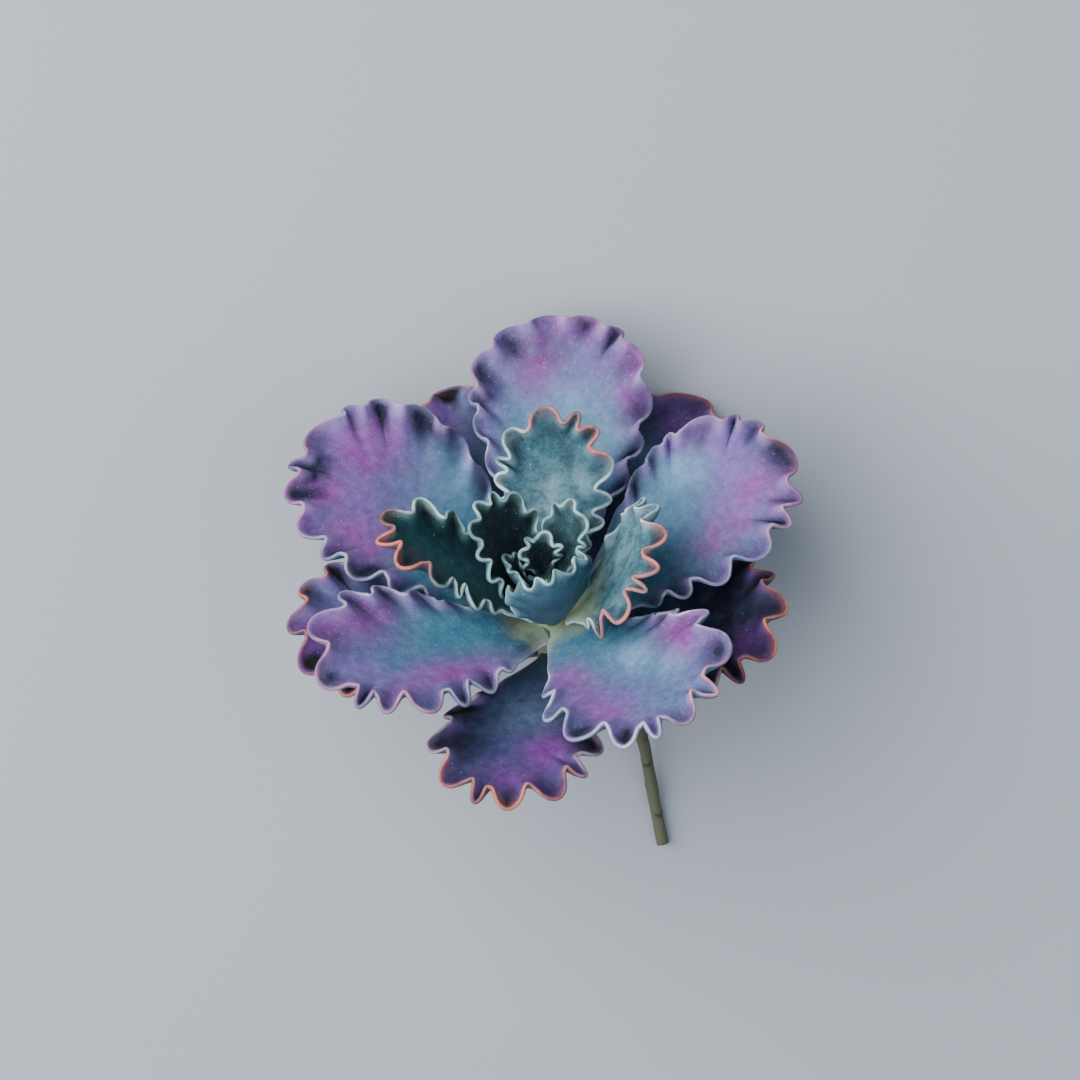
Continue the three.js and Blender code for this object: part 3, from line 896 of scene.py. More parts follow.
    def sheet(self) -> dict[str, np.ndarray]:
        """Lays out the leaf's flat middle surface, and its foot that goes on into the crown.

        Returns:
            What blade() gives, for each place round the margin and from the midrib to the margin.
        """
        s = np.linspace(0, 1, self.columns + 1)[:, None]
        margin, _, share = self.margin(s)
        reach = np.hypot(margin[..., 0], margin[..., 1] - MIDRIB_REACH * self.length * share)
        u = np.linspace(0, 1, self.rows)[None, :]
        rows = (1 - (1 - u) ** ROW_CROWDING) * (1 - RIM_SETBACK * EDGE_THICKNESS / reach)
        r = np.concatenate([rows, np.ones_like(s)], 1)
        sheet = self.blade(np.broadcast_to(s, r.shape), r)

        feet = []
        for column, inward in ((0, FOOT_STEPS[::-1, None]), (-1, FOOT_STEPS[:, None])):
            foot = {key: np.repeat(value[column][None], len(inward), 0) for key, value in sheet.items()}
            foot["x"] = foot["x"] * (1 - FOOT_TAPER * inward)
            foot["y"] = foot["y"] - inward
            feet.append(foot)
        return {key: np.concatenate([feet[0][key], value, feet[1][key]]) for key, value in sheet.items()}

    def shell(self, sheet: dict[str, np.ndarray]) -> np.ndarray:
        """Gives the sheet its flesh and a rounded rim.

        Args:
            sheet: the flat middle surface.

        Returns:
            Points for each place round the margin: over the upper face, round the rim, back under the leaf.
        """
        half_edge = EDGE_THICKNESS / 2
        points = lifted(self.bent(sheet["x"], sheet["y"], sheet["z"]), half_edge)
        number = numbered(*points.shape[:2], (0,))
        normals = sheet_normals(points, number)
        points = points.reshape(-1, 3)[number]

        thin = 1 - THINNING * np.clip(sheet["y"] / self.length, 0, 1)
        flesh = (self.flesh - EDGE_THICKNESS) * (1 - sheet["r"] ** 2) * thin
        half = (EDGE_THICKNESS + flesh)[..., None] / 2
        upper = (points + normals * half)[:, :-1]
        lower = (points - normals * half)[:, :-1]
        normal = normals[:, -1]
        out = points[:, -1] - points[:, -2]
        out -= normal * np.sum(out * normal, -1, keepdims=True)
        out /= np.linalg.norm(out, axis=-1, keepdims=True)
        centre = points[:, -1] - out * half_edge
        rim = np.stack([centre + half_edge * (math.cos(angle) * out + math.sin(angle) * normal)
                        for angle in RIM_ANGLES], 1)
        return np.concatenate([upper, rim, lower[:, ::-1]], 1)

    def skin_values(self, sheet: dict[str, np.ndarray]) -> dict[str, np.ndarray]:
        """Works out what the skin reads at each point of the shell.

        Args:
            sheet: the flat middle surface.

        Returns:
            The values by name, one number or three for every point.
        """
        last = sheet["r"].shape[1] - 1
        order = [*range(last), *[last] * RIM_STEPS, *range(last - 1, -1, -1)]
        on = {key: value[:, order] for key, value in sheet.items()}
        # The rim's line is painted as a highlight on its upper shoulder.
        from_line = np.clip(np.abs(RIM_ANGLES - LIT_ANGLE) - LIT_REACH, 0, None)
        on["edge"][:, last:-last] = EDGE_THICKNESS / 2 * from_line
        facing = np.concatenate([np.ones(last), np.sin(RIM_ANGLES), -np.ones(last)])
        on["face"] = np.broadcast_to(facing, on["r"].shape)
        on["along"] = on["y"] / self.length
        on["warmth"] = self.redness(on["s"])
        apart = LEAF_APART * self.seed + np.where(on["face"] < 0, FACE_APART, 0.0)
        masks = {key: on[key] for key in MASKS} | self.stained(on["x"], on["y"])
        masks["flat"] = np.stack([on["x"], on["y"], apart], -1)
        return {f"leaf_{key}": value.reshape(-1, *value.shape[2:]) for key, value in masks.items()}

    def build(self) -> bpy.types.Object:
        """Builds the leaf as one closed mesh.

        Returns:
            The leaf's object, with no skin on it yet.
        """
        sheet = self.sheet()
        shell = self.shell(sheet)
        number = numbered(*shell.shape[:2], (0, -1))
        used = np.unique(number)
        number = np.searchsorted(used, number)
        faces = cells(number)[:, [0, 3, 2, 1]].tolist()
        faces += [number[0, ::-1].tolist(), number[-1].tolist()]
        stored = {key: value[used] for key, value in self.skin_values(sheet).items()}
        return grown(f"{self.name}_blade", shell.reshape(-1, 3)[used], faces, stored)


# Leaves of one age are alike.
OUTER = {"slot": "leaf_lilac", "skin": Skin.LILAC, "foot": 3.1, "spread": 0.14, "flesh": 1.5, "radius": 2.85,
         "frill": 1.2, "lobes": 15, "cup": 20}
LOWER = {**OUTER, "slot": "leaf_plum", "skin": Skin.PLUM, "lobes": 13}
INNER = {"slot": "leaf_teal", "skin": Skin.TEAL, "foot": 3.4, "spread": 0.12, "flesh": 1.2, "radius": 2.85,
         "frill": 1.0, "lobes": 12, "cup": 25, "columns": 320, "rows": 14}
HEART = {"slot": "leaf_heart", "skin": Skin.HEART, "foot": 2.6, "spread": 0.05, "flesh": 1.0, "radius": 1.7,
         "frill": 0.62, "lobes": 10, "cup": 50, "columns": 260, "rows": 12}
BUD = {"slot": "leaf_bud", "skin": Skin.HEART, "foot": 1.3, "spread": 0.02, "flesh": 0.8, "radius": 1.1,
       "frill": 0.38, "lobes": 8, "cup": 55, "pinch": 0.3, "columns": 180, "rows": 10}

# What each leaf's own rim and blade show, read off the photograph.
MAGENTA, LILAC, DEEP, PALE = Pigment
# The deep stains are partly painted shade and the pale ones partly painted light.
MARKS = {
    "leaf_top": {"rim_strength": 0.65, "reddened": ((0.36, 0.68),), "stains": (
        Stain(MAGENTA, 0.27, 0.86, 4, 4.5, 0.9), Stain(MAGENTA, -0.14, 0.96, 5, 2.5, 0.7),
        Stain(MAGENTA, -0.85, 0.76, 3.2, 6), Stain(LILAC, -0.34, 0.83, 4, 4),
        Stain(LILAC, 0.83, 0.72, 3, 6), Stain(LILAC, 0.35, 0.78, 4, 4, 0.8),
        Stain(PALE, 0, 0.67, 5, 5, 0.8), Stain(PALE, -0.5, 0.58, 4, 6, 0.9),
        Stain(PALE, 0.1, 0.48, 6, 6, 0.7), Stain(DEEP, 0.95, 0.55, 2, 5, 0.7),
        Stain(DEEP, 0.18, 0.88, 3, 2.5, 0.5), Stain(DEEP, 0.5, 0.89, 1.9, 1.7, 0.9),
        Stain(DEEP, 0.88, 0.73, 1.8, 2.3, 1.1), Stain(DEEP, -0.94, 0.67, 1.6, 2.4, 0.9),
        Stain(DEEP, -0.62, 0.94, 1.6, 1.4, 0.7))},
    "leaf_upper_left": {"rim_strength": 0.7, "reddened": ((0.46, 0.66),), "stains": (
        Stain(MAGENTA, -0.22, 0.84, 5.5, 4.2), Stain(MAGENTA, -0.47, 0.84, 4, 4, 0.8),
        Stain(MAGENTA, 0.46, 0.84, 3.6, 4), Stain(MAGENTA, 0.66, 0.64, 4.4, 5),
        Stain(LILAC, -0.3, 0.76, 6, 6), Stain(LILAC, 0.25, 0.72, 6, 7),
        Stain(PALE, -0.65, 0.52, 4, 5, 0.5), Stain(PALE, -0.85, 0.84, 2.5, 3, 0.7),
        Stain(DEEP, 0.33, 0.92, 2.5, 2, 1.5), Stain(DEEP, 0.48, 0.87, 1.7, 1.7, 0.7),
        Stain(DEEP, 0.97, 0.6, 1.6, 3), Stain(DEEP, -0.9, 0.72, 2.4, 2.6, 1.3),
        Stain(DEEP, -0.4, 0.7, 5, 5, 0.2))},
    "leaf_left": {"rim_strength": 0.8, "reddened": ((0.4, 0.72),), "stains": (
        Stain(MAGENTA, -0.66, 0.71, 3, 5), Stain(MAGENTA, -0.6, 0.86, 3, 3, 0.9),
        Stain(MAGENTA, 0.5, 0.45, 2.4, 7, 1.1), Stain(MAGENTA, 0.6, 0.74, 2, 4, 0.8),
        Stain(LILAC, -0.1, 0.8, 6, 5), Stain(LILAC, 0.35, 0.62, 3, 7, 0.8),
        Stain(DEEP, -0.5, 0.88, 2, 2, 0.5), Stain(DEEP, -0.66, 0.7, 3, 4, 0.35),
        Stain(DEEP, -0.22, 1, 3, 1.5, 0.7), Stain(DEEP, 0.16, 0.08, 7, 3, 0.7))},
    "leaf_right": {"rim_strength": 0.75, "reddened": ((0.34, 0.62),), "stains": (
        Stain(LILAC, 0.37, 0.84, 5, 4.5), Stain(LILAC, -0.1, 0.76, 5, 5),
        Stain(MAGENTA, 0.79, 0.81, 2, 3, 0.5), Stain(MAGENTA, -0.3, 0.85, 3.6, 4.5),
        Stain(MAGENTA, -0.45, 0.66, 3, 6, 0.9), Stain(PALE, 0.62, 0.65, 3.5, 6, 0.8),
        Stain(PALE, 0.4, 0.42, 4, 6, 0.8), Stain(DEEP, -0.65, 0.38, 4, 5, 0.7),
        Stain(LILAC, 0.92, 0.72, 2, 4.5), Stain(DEEP, -0.05, 0.98, 4, 2.2, 1.1),
        Stain(DEEP, 0.9, 0.55, 1.4, 3, 0.6))},
    "leaf_lower_right": {"rim_strength": 1.2, "reddened": ((0.47, 0.63),), "stains": (
        Stain(MAGENTA, 0.74, 0.59, 3.2, 4.2, 1.3), Stain(MAGENTA, -0.45, 0.32, 2.6, 4, 0.9),
        Stain(MAGENTA, -0.55, 0.62, 2.4, 7, 0.9), Stain(LILAC, -0.3, 0.66, 4.5, 8),
        Stain(LILAC, 0.4, 0.82, 5, 3.5), Stain(PALE, 0.28, 0.46, 2.5, 4, 0.9),
        Stain(PALE, 0.42, 0.68, 2, 3, 0.8), Stain(DEEP, 0.5, 0.2, 5, 3, 0.5))},
    "leaf_bottom": {"rim_strength": 1.1, "reddened": ((0.36, 0.66),), "stains": (
        Stain(MAGENTA, 0.42, 0.67, 3, 3.8, 1.2), Stain(MAGENTA, 0.1, 0.86, 3.5, 2.5, 0.9),
        Stain(PALE, -0.04, 0.44, 4, 4, 0.6), Stain(LILAC, 0, 0.7, 5, 4, 0.5),
        Stain(DEEP, -0.65, 0.7, 3, 4.5, 0.8), Stain(DEEP, 0.8, 0.35, 3, 5, 0.5))},
    "leaf_under_left": {"rim_strength": 1.0, "reddened": ((0.36, 0.7),), "stains": (
        Stain(LILAC, -0.4, 0.84, 5, 5), Stain(LILAC, 0.6, 0.75, 4, 5, 0.9),
        Stain(PALE, -0.45, 0.9, 3, 3, 0.9), Stain(MAGENTA, 0.12, 0.92, 4, 3, 0.8))},
    "leaf_under_right": {"rim_strength": 1.1, "reddened": ((0.34, 0.68),), "stains": (
        Stain(DEEP, 0.2, 0.72, 9, 6, 1.1), Stain(MAGENTA, -0.26, 0.85, 2.4, 2.4),
        Stain(DEEP, -0.7, 0.8, 3, 5, 0.9))},
    "leaf_back_left": {"rim_strength": 0.8, "reddened": ((0.4, 0.6),), "stains": (
        Stain(MAGENTA, 0.3, 0.9, 4, 4, 0.8), Stain(LILAC, 0.5, 0.8, 4, 6, 0.7),
        Stain(PALE, -0.15, 0.95, 3, 3, 0.8))},
    "leaf_back_right": {"rim_strength": 0.9, "reddened": ((0.34, 0.66),), "stains": (
        Stain(DEEP, 0, 0.45, 9, 6, 0.8), Stain(PALE, 0.22, 0.72, 3, 3, 1),
        Stain(MAGENTA, -0.2, 0.88, 5, 3, 0.8))},
    "leaf_inner_top": {"rim_strength": 1.4, "reddened": ((0.33, 0.58),), "stains": (
        Stain(DEEP, 0, 0.9, 3.5, 2.5, 0.8), Stain(DEEP, 0.78, 0.78, 1.6, 3, 1.1),
        Stain(DEEP, 0.3, 0.6, 1.5, 2, 0.3), Stain(PALE, -0.5, 0.6, 1.6, 4, 0.5),
        Stain(PALE, 0.1, 0.42, 2.8, 5), Stain(DEEP, -0.3, 0.76, 2.5, 2, 0.4))},
    "leaf_inner_left": {"rim_strength": 1.6, "reddened": ((0.43, 0.68),), "stains": (
        Stain(MAGENTA, 0.35, 0.78, 1.2, 2, 0.4), Stain(PALE, 0, 0.5, 3, 6, 0.3),
        Stain(DEEP, -0.6, 0.6, 2.5, 6, 0.6))},
    "leaf_inner_right": {"rim_strength": 1.6, "reddened": ((0.18, 0.58),), "stains": (
        Stain(PALE, 0.3, 0.6, 3, 4, 0.5), Stain(PALE, 0.8, 0.52, 1.5, 3),
        Stain(PALE, -0.5, 0.75, 2.5, 3, 0.6), Stain(DEEP, 0.4, 0.16, 3, 3, 1.2))},
    "leaf_heart_left": {"rim_strength": 1.4, "stains": (Stain(DEEP, -0.28, 0.7, 4, 5, 0.6),)},
    "leaf_heart_front": {"rim_strength": 1.6},
    "leaf_heart_right": {"rim_strength": 1.2, "stains": (Stain(PALE, 0, 0.7, 2, 4),)},
    "leaf_bud_top": {"rim_strength": 1.2, "stains": (Stain(DEEP, 0, 0.5, 3, 3, 0.8),)},
    "leaf_bud_left": {"rim_strength": 1.2, "stains": (Stain(DEEP, 0, 0.5, 3, 3, 0.8),)},
}


def leaf(name: str, age: dict, azimuth: float, height: float, length: float, width: float, pitch: float,
         tip_pitch: float, seed: int, **own: float) -> Leaf:
    """Makes one leaf from what its age gives it and what is its own.

    Args:
        name: the leaf's node in the frame.
        age: the values that leaves of its age share.
        azimuth: where it stands round the crown.
        height: the height of its foot.
        length: its length along the flat blade.
        width: its full width.
        pitch: its slope at the foot.
        tip_pitch: its slope at the tip.
        seed: what sets its frill and its marks apart.
        own: values that differ from those of its age.

    Returns:
        The leaf.
    """
    return Leaf(name=name, azimuth=azimuth, height=height, length=length, width=width, pitch=pitch,
                tip_pitch=tip_pitch, seed=seed, **{**age, **MARKS.get(name, {}), **own})


@dataclass
class Rosette:
    """All the leaves of the rosette, from the outer ones to the heart."""

    leaves: list[Leaf] = field(default_factory=lambda: [
        leaf("leaf_top", OUTER, 79.4, 0.9, 36.4, 21.8, 24, 30, 1, spread=-0.2, frill=1, roll=3, swell=0.8,
             swells=2.6, widest=0.73, scallop=0.35, crests=(0.1, 0.16, 0.22, 0.268, 0.338, 0.4, 0.435,
             0.497, 0.553, 0.612, 0.676, 0.708, 0.76, 0.82, 0.9)),
        leaf("leaf_upper_left", OUTER, 138.2, 0.4, 34.5, 24.6, 25, 30, 2, spread=0.1, frill=1.1, roll=5,
             swell=0.9, scallop=0.5, crests=(0.1, 0.17, 0.235, 0.3, 0.365, 0.42, 0.455, 0.545, 0.57, 0.632,
             0.69, 0.722, 0.785, 0.84, 0.91)),
        leaf("leaf_left", OUTER, 205.4, 3, 28.8, 19.3, 18, 31, 3, foot=4.6, cup=31, roll=-4, shift=1.1,
             crests=(0.09, 0.15, 0.215, 0.285, 0.347, 0.455, 0.565, 0.6, 0.65, 0.735, 0.79, 0.875, 0.93)),
        leaf("leaf_right", OUTER, 20, 0.8, 32.3, 20.4, 25, 31, 4, spread=0.06, frill=1.1, roll=5, swell=0.7,
             scallop=0.45, crests=(0.1, 0.155, 0.205, 0.275, 0.35, 0.387, 0.43, 0.53, 0.575, 0.602, 0.682,
             0.71, 0.75, 0.81, 0.9)),
        leaf("leaf_lower_right", OUTER, 298, 2.7, 28, 22, 18, 31, 5, foot=4.6, cup=34, roll=7, shift=-0.4,
             crests=(0.1, 0.18, 0.265, 0.365, 0.43, 0.462, 0.535, 0.575, 0.7, 0.785, 0.83, 0.88)),
        leaf("leaf_bottom", LOWER, 251, -2, 25.4, 18.6, 12, 16, 6, crests=(0.1, 0.17, 0.265, 0.355, 0.445,
             0.48, 0.56, 0.645, 0.68, 0.79, 0.86, 0.92)),
        leaf("leaf_under_left", LOWER, 177.5, -2.4, 28.6, 20.6, 16, 20, 7, crests=(0.1, 0.19, 0.27, 0.335,
             0.385, 0.453, 0.53, 0.63, 0.69, 0.75, 0.83, 0.9)),
        leaf("leaf_under_right", LOWER, 344, -2.6, 25.6, 20.4, 17, 21, 10, crests=(0.1, 0.19, 0.27, 0.345,
             0.385, 0.49, 0.585, 0.625, 0.7, 0.78, 0.86)),
        leaf("leaf_back_left", LOWER, 105, -3, 35, 20, 13, 17, 8, roll=-3),
        leaf("leaf_back_right", LOWER, 56, -4.4, 35.6, 20, 11, 14, 9, roll=-3),
        leaf("leaf_back_side", LOWER, 125, -5, 30, 17, 0, 2, 20),
        leaf("leaf_inner_top", INNER, 76, 4.2, 21.7, 13, 50, 60, 11, crests=(0.09, 0.15, 0.21, 0.27, 0.375,
             0.432, 0.473, 0.578, 0.665, 0.695, 0.755, 0.81, 0.9)),
        leaf("leaf_inner_left", INNER, 169, 4, 21, 13, 42, 46, 12, frill=1.1, cup=48, roll=8,
             skin=Skin.DEEP, crests=(0.09, 0.16, 0.23, 0.305, 0.4, 0.495, 0.555, 0.652, 0.735, 0.768, 0.855,
             0.92)),
        leaf("leaf_inner_right", INNER, 345.5, 4.1, 16.6, 17.2, 48, 55, 13, frill=1.1, cup=20, widest=0.74,
             crests=(0.07, 0.14, 0.25, 0.365, 0.4, 0.48, 0.6, 0.66, 0.73, 0.82, 0.91)),
        leaf("leaf_heart_left", HEART, 149.4, 6.03, 15, 12.2, 58.8, 78, 14, widest=0.56, crests=(0.11, 0.2,
             0.29, 0.4, 0.455, 0.525, 0.62, 0.685, 0.77, 0.88)),
        leaf("leaf_heart_front", HEART, 284.7, 4.87, 12.5, 13.4, 60, 98, 15, radius=2.1, cup=64, roll=7.5,
             scallop=-0.5, crests=(0.13, 0.225, 0.3, 0.375, 0.437, 0.5, 0.6, 0.68, 0.78, 0.88)),
        leaf("leaf_heart_right", BUD, 46.5, 7.6, 11, 6, 60, 72, 16, foot=1.8, radius=1.7, lobes=9, cup=40),
        leaf("leaf_bud_top", BUD, 99.6, 9.27, 6.6, 5.45, 72.2, 92, 17, radius=0.9, cup=60),
        leaf("leaf_bud_left", BUD, 189, 7.55, 7.8, 5.25, 57.8, 84, 18, radius=1.4, frill=0.34, cup=60),
        leaf("leaf_bud_centre", BUD, 240, 8.4, 4, 3.2, 62, 85, 19, foot=1, radius=0.6, frill=0.25, lobes=6),
    ])

    def build(self) -> None:
        """Builds and dresses every leaf."""
        skins = {skin: skin.value.material() for skin in Skin}
        for one in self.leaves:
            made = one.build()
            made.data.materials.append(skins[one.skin])
            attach(made, "root")
            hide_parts(one.name)
            log.info("%s: %d faces", made.name, len(made.data.polygons))


@dataclass
class Stem:
    """The fleshy crown and the slender stem below it, grown in one. Sizes in mm, rosette frame.

    Leaf scars ring the stem, one for each leaf that it has lost, each a golden angle on from the last:
    a low crescent ridge, bowed down the stem, with a dark line below it.
    """

    radius: float = 0.75
    sides: int = 40
    step: float = 0.25
    scar_gap: float = 3.7
    scar_turn: float = 137.5
    scar_bow: float = 0.35
    ridge: float = 0.1
    ridge_width: float = 0.22
    line_width: float = 0.3
    taper: float = 2.5
    blend: float = 3.0
    crown: list[tuple[float, float]] = field(default_factory=lambda: [
        (0.3, 7.75), (0.5, 7.4), (0.75, 6.6), (1.05, 5.2), (1.9, 3.8), (2.25, 2.6), (2.25, -3.2),
        (2.15, -4.2), (1.75, -5.2), (1.2, -6.2), (0.9, -7.4)])
    route: list[tuple[float, float, float]] = field(default_factory=lambda: [
        (0, 0, -5.4), (0.7, 0.5, -9), (3.4, 1.6, -14.5), (6.9, 2.5, -20), (9.0, 2.2, -25.6),
        (9.5, 0.4, -31), (9.7, -2.0, -35.2), (10, -5.1, -39.3)])

    def middle_line(self) -> np.ndarray:
        """Runs down the axis of the crown and then along the stem's bends, as one smooth curve.

        Returns:
            Points one step apart.
        """
        top = self.crown[0][1]
        knots = np.array([(0, 0, top), (0, 0, 1.0), *self.route], float)
        # The knots are spaced by the square roots of their distances, which keeps the bends even.
        gaps = np.linalg.norm(np.diff(knots, axis=0), axis=1) ** 0.5
        t = np.concatenate([[0], np.cumsum(gaps)])
        slopes = np.gradient(knots, t, axis=0)
        fine = np.linspace(0, t[-1], 1500)
        k = np.clip(np.searchsorted(t, fine, side="right") - 1, 0, len(t) - 2)
        w = t[k + 1] - t[k]
        u = ((fine - t[k]) / w)[:, None]
        w = w[:, None]
        line = ((2 * u ** 3 - 3 * u ** 2 + 1) * knots[k] + (u ** 3 - 2 * u ** 2 + u) * w * slopes[k]
                + (-2 * u ** 3 + 3 * u ** 2) * knots[k + 1] + (u ** 3 - u ** 2) * w * slopes[k + 1])
        walked = np.concatenate([[0], np.cumsum(np.linalg.norm(np.diff(line, axis=0), axis=1))])
        even = np.arange(0, walked[-1], self.step)
        return np.stack([np.interp(even, walked, line[:, a]) for a in range(3)], -1)

    def directions(self, line: np.ndarray) -> tuple[np.ndarray, np.ndarray]:
        """Finds two directions square to the middle line, carried along it without a twist.

        Args:
            line: points of the middle line.

        Returns:
            The two directions at each point.
        """
        tangent = np.gradient(line, axis=0)
        tangent /= np.linalg.norm(tangent, axis=1, keepdims=True)
        side = np.zeros_like(line)
        side[0] = (1, 0, 0)
        for i in range(1, len(line)):
            carried = side[i - 1] - tangent[i] * (side[i - 1] @ tangent[i])
            side[i] = carried / np.linalg.norm(carried)
        return side, np.cross(tangent, side)

    def surface(self, walked: np.ndarray, angle: np.ndarray) -> tuple[np.ndarray, np.ndarray]:
        """Works out how far the skin stands from the middle line, and its scars.

        Args:
            walked: distances down the middle line, as a column.
            angle: angles round it, as a row.

        Returns:
            The radius, and how much of a scar there is, at each distance and angle.
        """
        crown_walk = np.array([self.crown[0][1] - z for _, z in self.crown])
        crown_end = crown_walk[-1]
        radii = [*(r for r, _ in self.crown), self.radius]
        radius = np.interp(walked, [*crown_walk, crown_end + self.taper], radii)
        below = soft_step(walked, crown_end, crown_end + self.blend)

        ridges = np.zeros(np.broadcast_shapes(walked.shape, angle.shape))
        scars = np.zeros_like(ridges)
        for k, at in enumerate(np.arange(crown_end + 2, walked[-1, 0] - 2, self.scar_gap)):
            turned = angle - k * math.radians(self.scar_turn)
            round_part = soft_step(np.cos(turned), -0.5, 0.5)
            gap = walked - (at + self.scar_bow * np.cos(turned))
            ridges += round_part * np.exp(-(gap / self.ridge_width) ** 2)
            scars += round_part * np.exp(-((gap - self.scar_bow) / self.line_width) ** 2)
        wobble = 0.04 * np.sin(0.9 * walked) + 0.03 * np.sin(3 * angle + 0.4 * walked)
        return radius * (1 + below * wobble) + below * self.ridge * ridges, scars * below

    def build(self) -> None:
        """Builds the crown and the stem as one closed tube, and dresses it."""
        line = self.middle_line()
        side, other = self.directions(line)
        count = len(line)
        walked = np.arange(count)[:, None] * self.step
        angle = np.linspace(0, TURN, self.sides, endpoint=False)[None, :]
        radius, scars = self.surface(walked, angle)
        ring = line[:, None] + radius[..., None] * (
            np.cos(angle)[..., None] * side[:, None] + np.sin(angle)[..., None] * other[:, None])
        points = np.concatenate([ring.reshape(-1, 3), line[:1], line[-1:]])

        number = np.arange(count * self.sides).reshape(count, self.sides)
        after = np.roll(number, -1, 1)
        faces = np.stack([number[:-1], after[:-1], after[1:], number[1:]], -1).reshape(-1, 4).tolist()
        top, end = count * self.sides, count * self.sides + 1
        faces += [[top, int(b), int(a)] for a, b in zip(number[0], after[0])]
        faces += [[end, int(a), int(b)] for a, b in zip(number[-1], after[-1])]
        down = np.broadcast_to(walked, ring.shape[:2]).ravel()
        made = grown("stem_skin", points, faces, {
            "stem_down": np.append(down, [0, down[-1] + 1]), "stem_scar": np.append(scars.ravel(), [0, 0])})
        made.data.materials.append(self.material())
        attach(made, "root")
        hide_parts("stem")
        log.info("%s: %d faces", made.name, len(made.data.polygons))

    def material(self) -> bpy.types.Material:
        """Makes the stem's skin: green at the crown and drier and browner below, with a soft waxy shine.

        Returns:
            The finished material.
        """
        made = empty_material("green stem skin")
        tree = made.node_tree
        down, scar = (add(tree, ATTRIBUTE, {"attribute_name": name}).outputs["Fac"]
                      for name in ("stem_down", "stem_scar"))
        spots = add(tree, "ShaderNodeNewGeometry").outputs["Position"]
        # Fibres and flecks 0.3 to 1 mm wide.
        fleck = add(tree, NOISE, {}, {
            "Vector": spots, "Scale": 1 / (0.9 * MM), "Detail": 6.0, "Roughness": 0.65}).outputs[0]
        # The stem dries out from 12 to 26 mm below the crown's top.
        drier = add(tree, RAMP, SMOOTH, {0: down, START: 12.0, END: 26.0}).outputs[0]
        colour = add(tree, MIX, COLOURS, {
            SHARE: drier, UNDER: linear("#93a07c"), OVER: linear("#5d6650")}).outputs[MIXED]
        browned = add(tree, RAMP, SMOOTH, {0: fleck, START: 0.45, END: 0.7, HIGH: 0.6}).outputs[0]
        browned = add(tree, MATH, TIMES, {0: browned, 1: drier}).outputs[0]
        for share, tint in ((browned, "#6f5b48"), (scar, "#4a3a2f")):
            colour = add(tree, MIX, COLOURS, {
                SHARE: share, UNDER: colour, OVER: linear(tint)}).outputs[MIXED]
        bump = add(tree, "ShaderNodeBump", {}, {"Strength": 0.6, "Distance": 0.1 * MM, "Height": fleck})
        shader = add(tree, "ShaderNodeBsdfPrincipled", {}, {
            "Base Color": colour, "Roughness": 0.62, "Normal": bump.outputs[0], "IOR": 1.43,
            "Specular IOR Level": 0.4})
        add(tree, "ShaderNodeOutputMaterial", {}, {"Surface": shader.outputs[0]})
        return made


@dataclass(frozen=True)
class Lamp:
    """A soft square light: where it stands and its side, in metres, its watts and its colour."""

    name: str
    at: tuple[float, float, float]
    side: float
    watts: float
    tint: str

    def build(self, target: Vector) -> None:
        """Puts the light into the scene, turned to a target.

        Args:
            target: what it shines on, in metres.
        """
        lamp = bpy.data.lights.new(self.name, "AREA")
        lamp.shape = "SQUARE"
        lamp.size = self.side
        lamp.energy = self.watts
        lamp.color = linear(self.tint)[:3]
        aim = target - Vector(self.at)
        turned = aim.to_track_quat("-Z", "Y").to_matrix().to_4x4()
        put(self.name, lamp).matrix_world = Matrix.Translation(self.at) @ turned


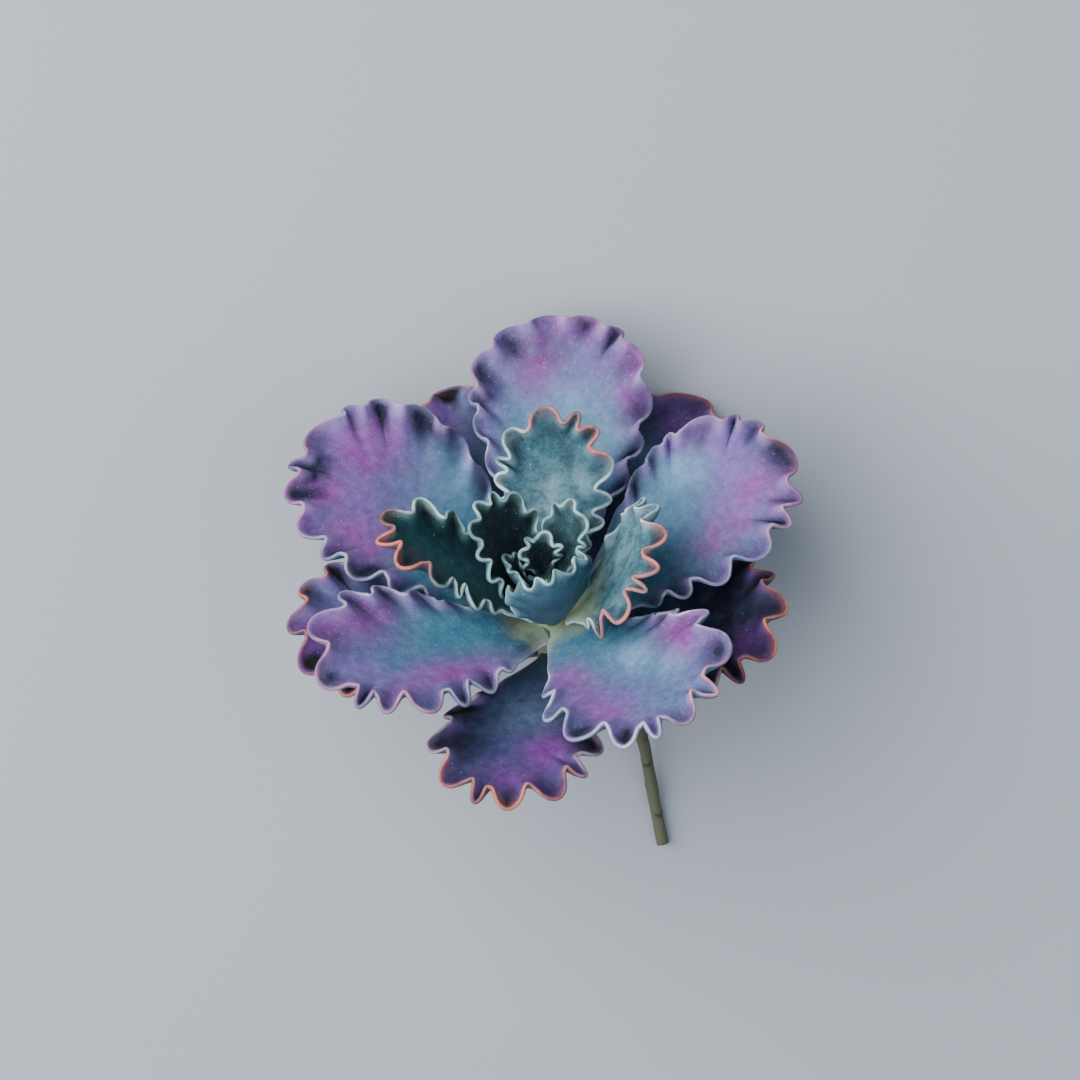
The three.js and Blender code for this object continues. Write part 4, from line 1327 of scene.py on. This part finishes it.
@dataclass
class Studio:
    """The pale table, the soft lights and the camera that looks down on the rosette."""

    elevation: float = 50.0
    tilt: float = 8.0
    distance_mm: float = 450.0
    offset_mm: tuple[float, float] = (-1.55, 10.95)
    lens: float = 126.0
    half_table: float = 3.0
    plant_middle: tuple[float, float, float] = (0, 0, 0.025)
    sky_tint: str = "#c3ccd6"
    sky_strength: float = 0.2
    board_tint: str = "#b4bcc2"
    lamps: tuple[Lamp, ...] = (
        Lamp("window", (-0.32, 0.2, 0.46), side=0.7, watts=8.2, tint="#fbfaff"),
        Lamp("fill", (0.3, -0.1, 0.55), side=0.6, watts=1.3, tint="#dfe9ff"),
    )

    def view_axes(self) -> tuple[Vector, Vector, Vector]:
        """Works out the camera's axes in the row frame.

        Returns:
            The directions to its right, up its picture and towards it from the plant.
        """
        e, tilt = math.radians(self.elevation), math.radians(self.tilt)
        level = Vector((1, 0, 0))
        upright = Vector((0, math.sin(e), math.cos(e)))
        towards = Vector((0, -math.cos(e), math.sin(e)))
        right = math.cos(tilt) * level - math.sin(tilt) * upright
        up = math.sin(tilt) * level + math.cos(tilt) * upright
        lie = Matrix.Rotation(-AXIS_LEAN, 3, "X")
        return lie @ right, lie @ up, lie @ towards

    def place_camera(self) -> None:
        """Puts the camera over the rosette, as far from it and at the angle that the photograph has."""
        right, up, towards = self.view_axes()
        crown = Vector(CROWN_AT)
        at = crown + right * self.offset_mm[0] + up * self.offset_mm[1] + towards * self.distance_mm
        made = put("camera", bpy.data.cameras.new("camera"))
        turned = Matrix((right, up, towards)).transposed().to_4x4()
        made.matrix_world = Matrix.Translation(at * MM) @ turned
        made.data.lens = self.lens
        made.data.sensor_width = 36.0
        made.data.clip_start = 0.01
        bpy.context.scene.camera = made

    def build(self) -> None:
        """Builds the table, the sky and the lights."""
        self.place_camera()
        far = self.half_table
        mesh = bpy.data.meshes.new("table")
        corners = [(-far, -far, 0), (far, -far, 0), (far, far, 0), (-far, far, 0)]
        mesh.from_pydata(corners, [], [(0, 1, 2, 3)])
        table = put("table", mesh)
        table.data.materials.append(self.board())
        world = bpy.data.worlds.new("soft sky")
        world.use_nodes = True
        sky = world.node_tree.nodes["Background"]
        sky.inputs["Color"].default_value = linear(self.sky_tint)
        sky.inputs["Strength"].default_value = self.sky_strength
        bpy.context.scene.world = world
        for lamp in self.lamps:
            lamp.build(Vector(self.plant_middle))

    def board(self) -> bpy.types.Material:
        """Makes the pale painted board that the plant lies on, matte, so that it throws no glints.

        Returns:
            The finished material.
        """
        made = empty_material("painted board")
        tree = made.node_tree
        shader = add(tree, "ShaderNodeBsdfPrincipled", {}, {
            "Base Color": linear(self.board_tint), "Roughness": 0.75, "Specular IOR Level": 0.3})
        add(tree, "ShaderNodeOutputMaterial", {}, {"Surface": shader.outputs[0]})
        return made


def main() -> None:
    """Builds the studio and the plant in order, and logs what it builds."""
    logging.basicConfig(level=logging.INFO, format="%(name)s: %(message)s")
    log.info("%d nodes in the frame", len(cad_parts))
    Studio().build()
    log.info("studio built")
    Stem().build()
    Rosette().build()


if __name__ == "__main__":
    main()
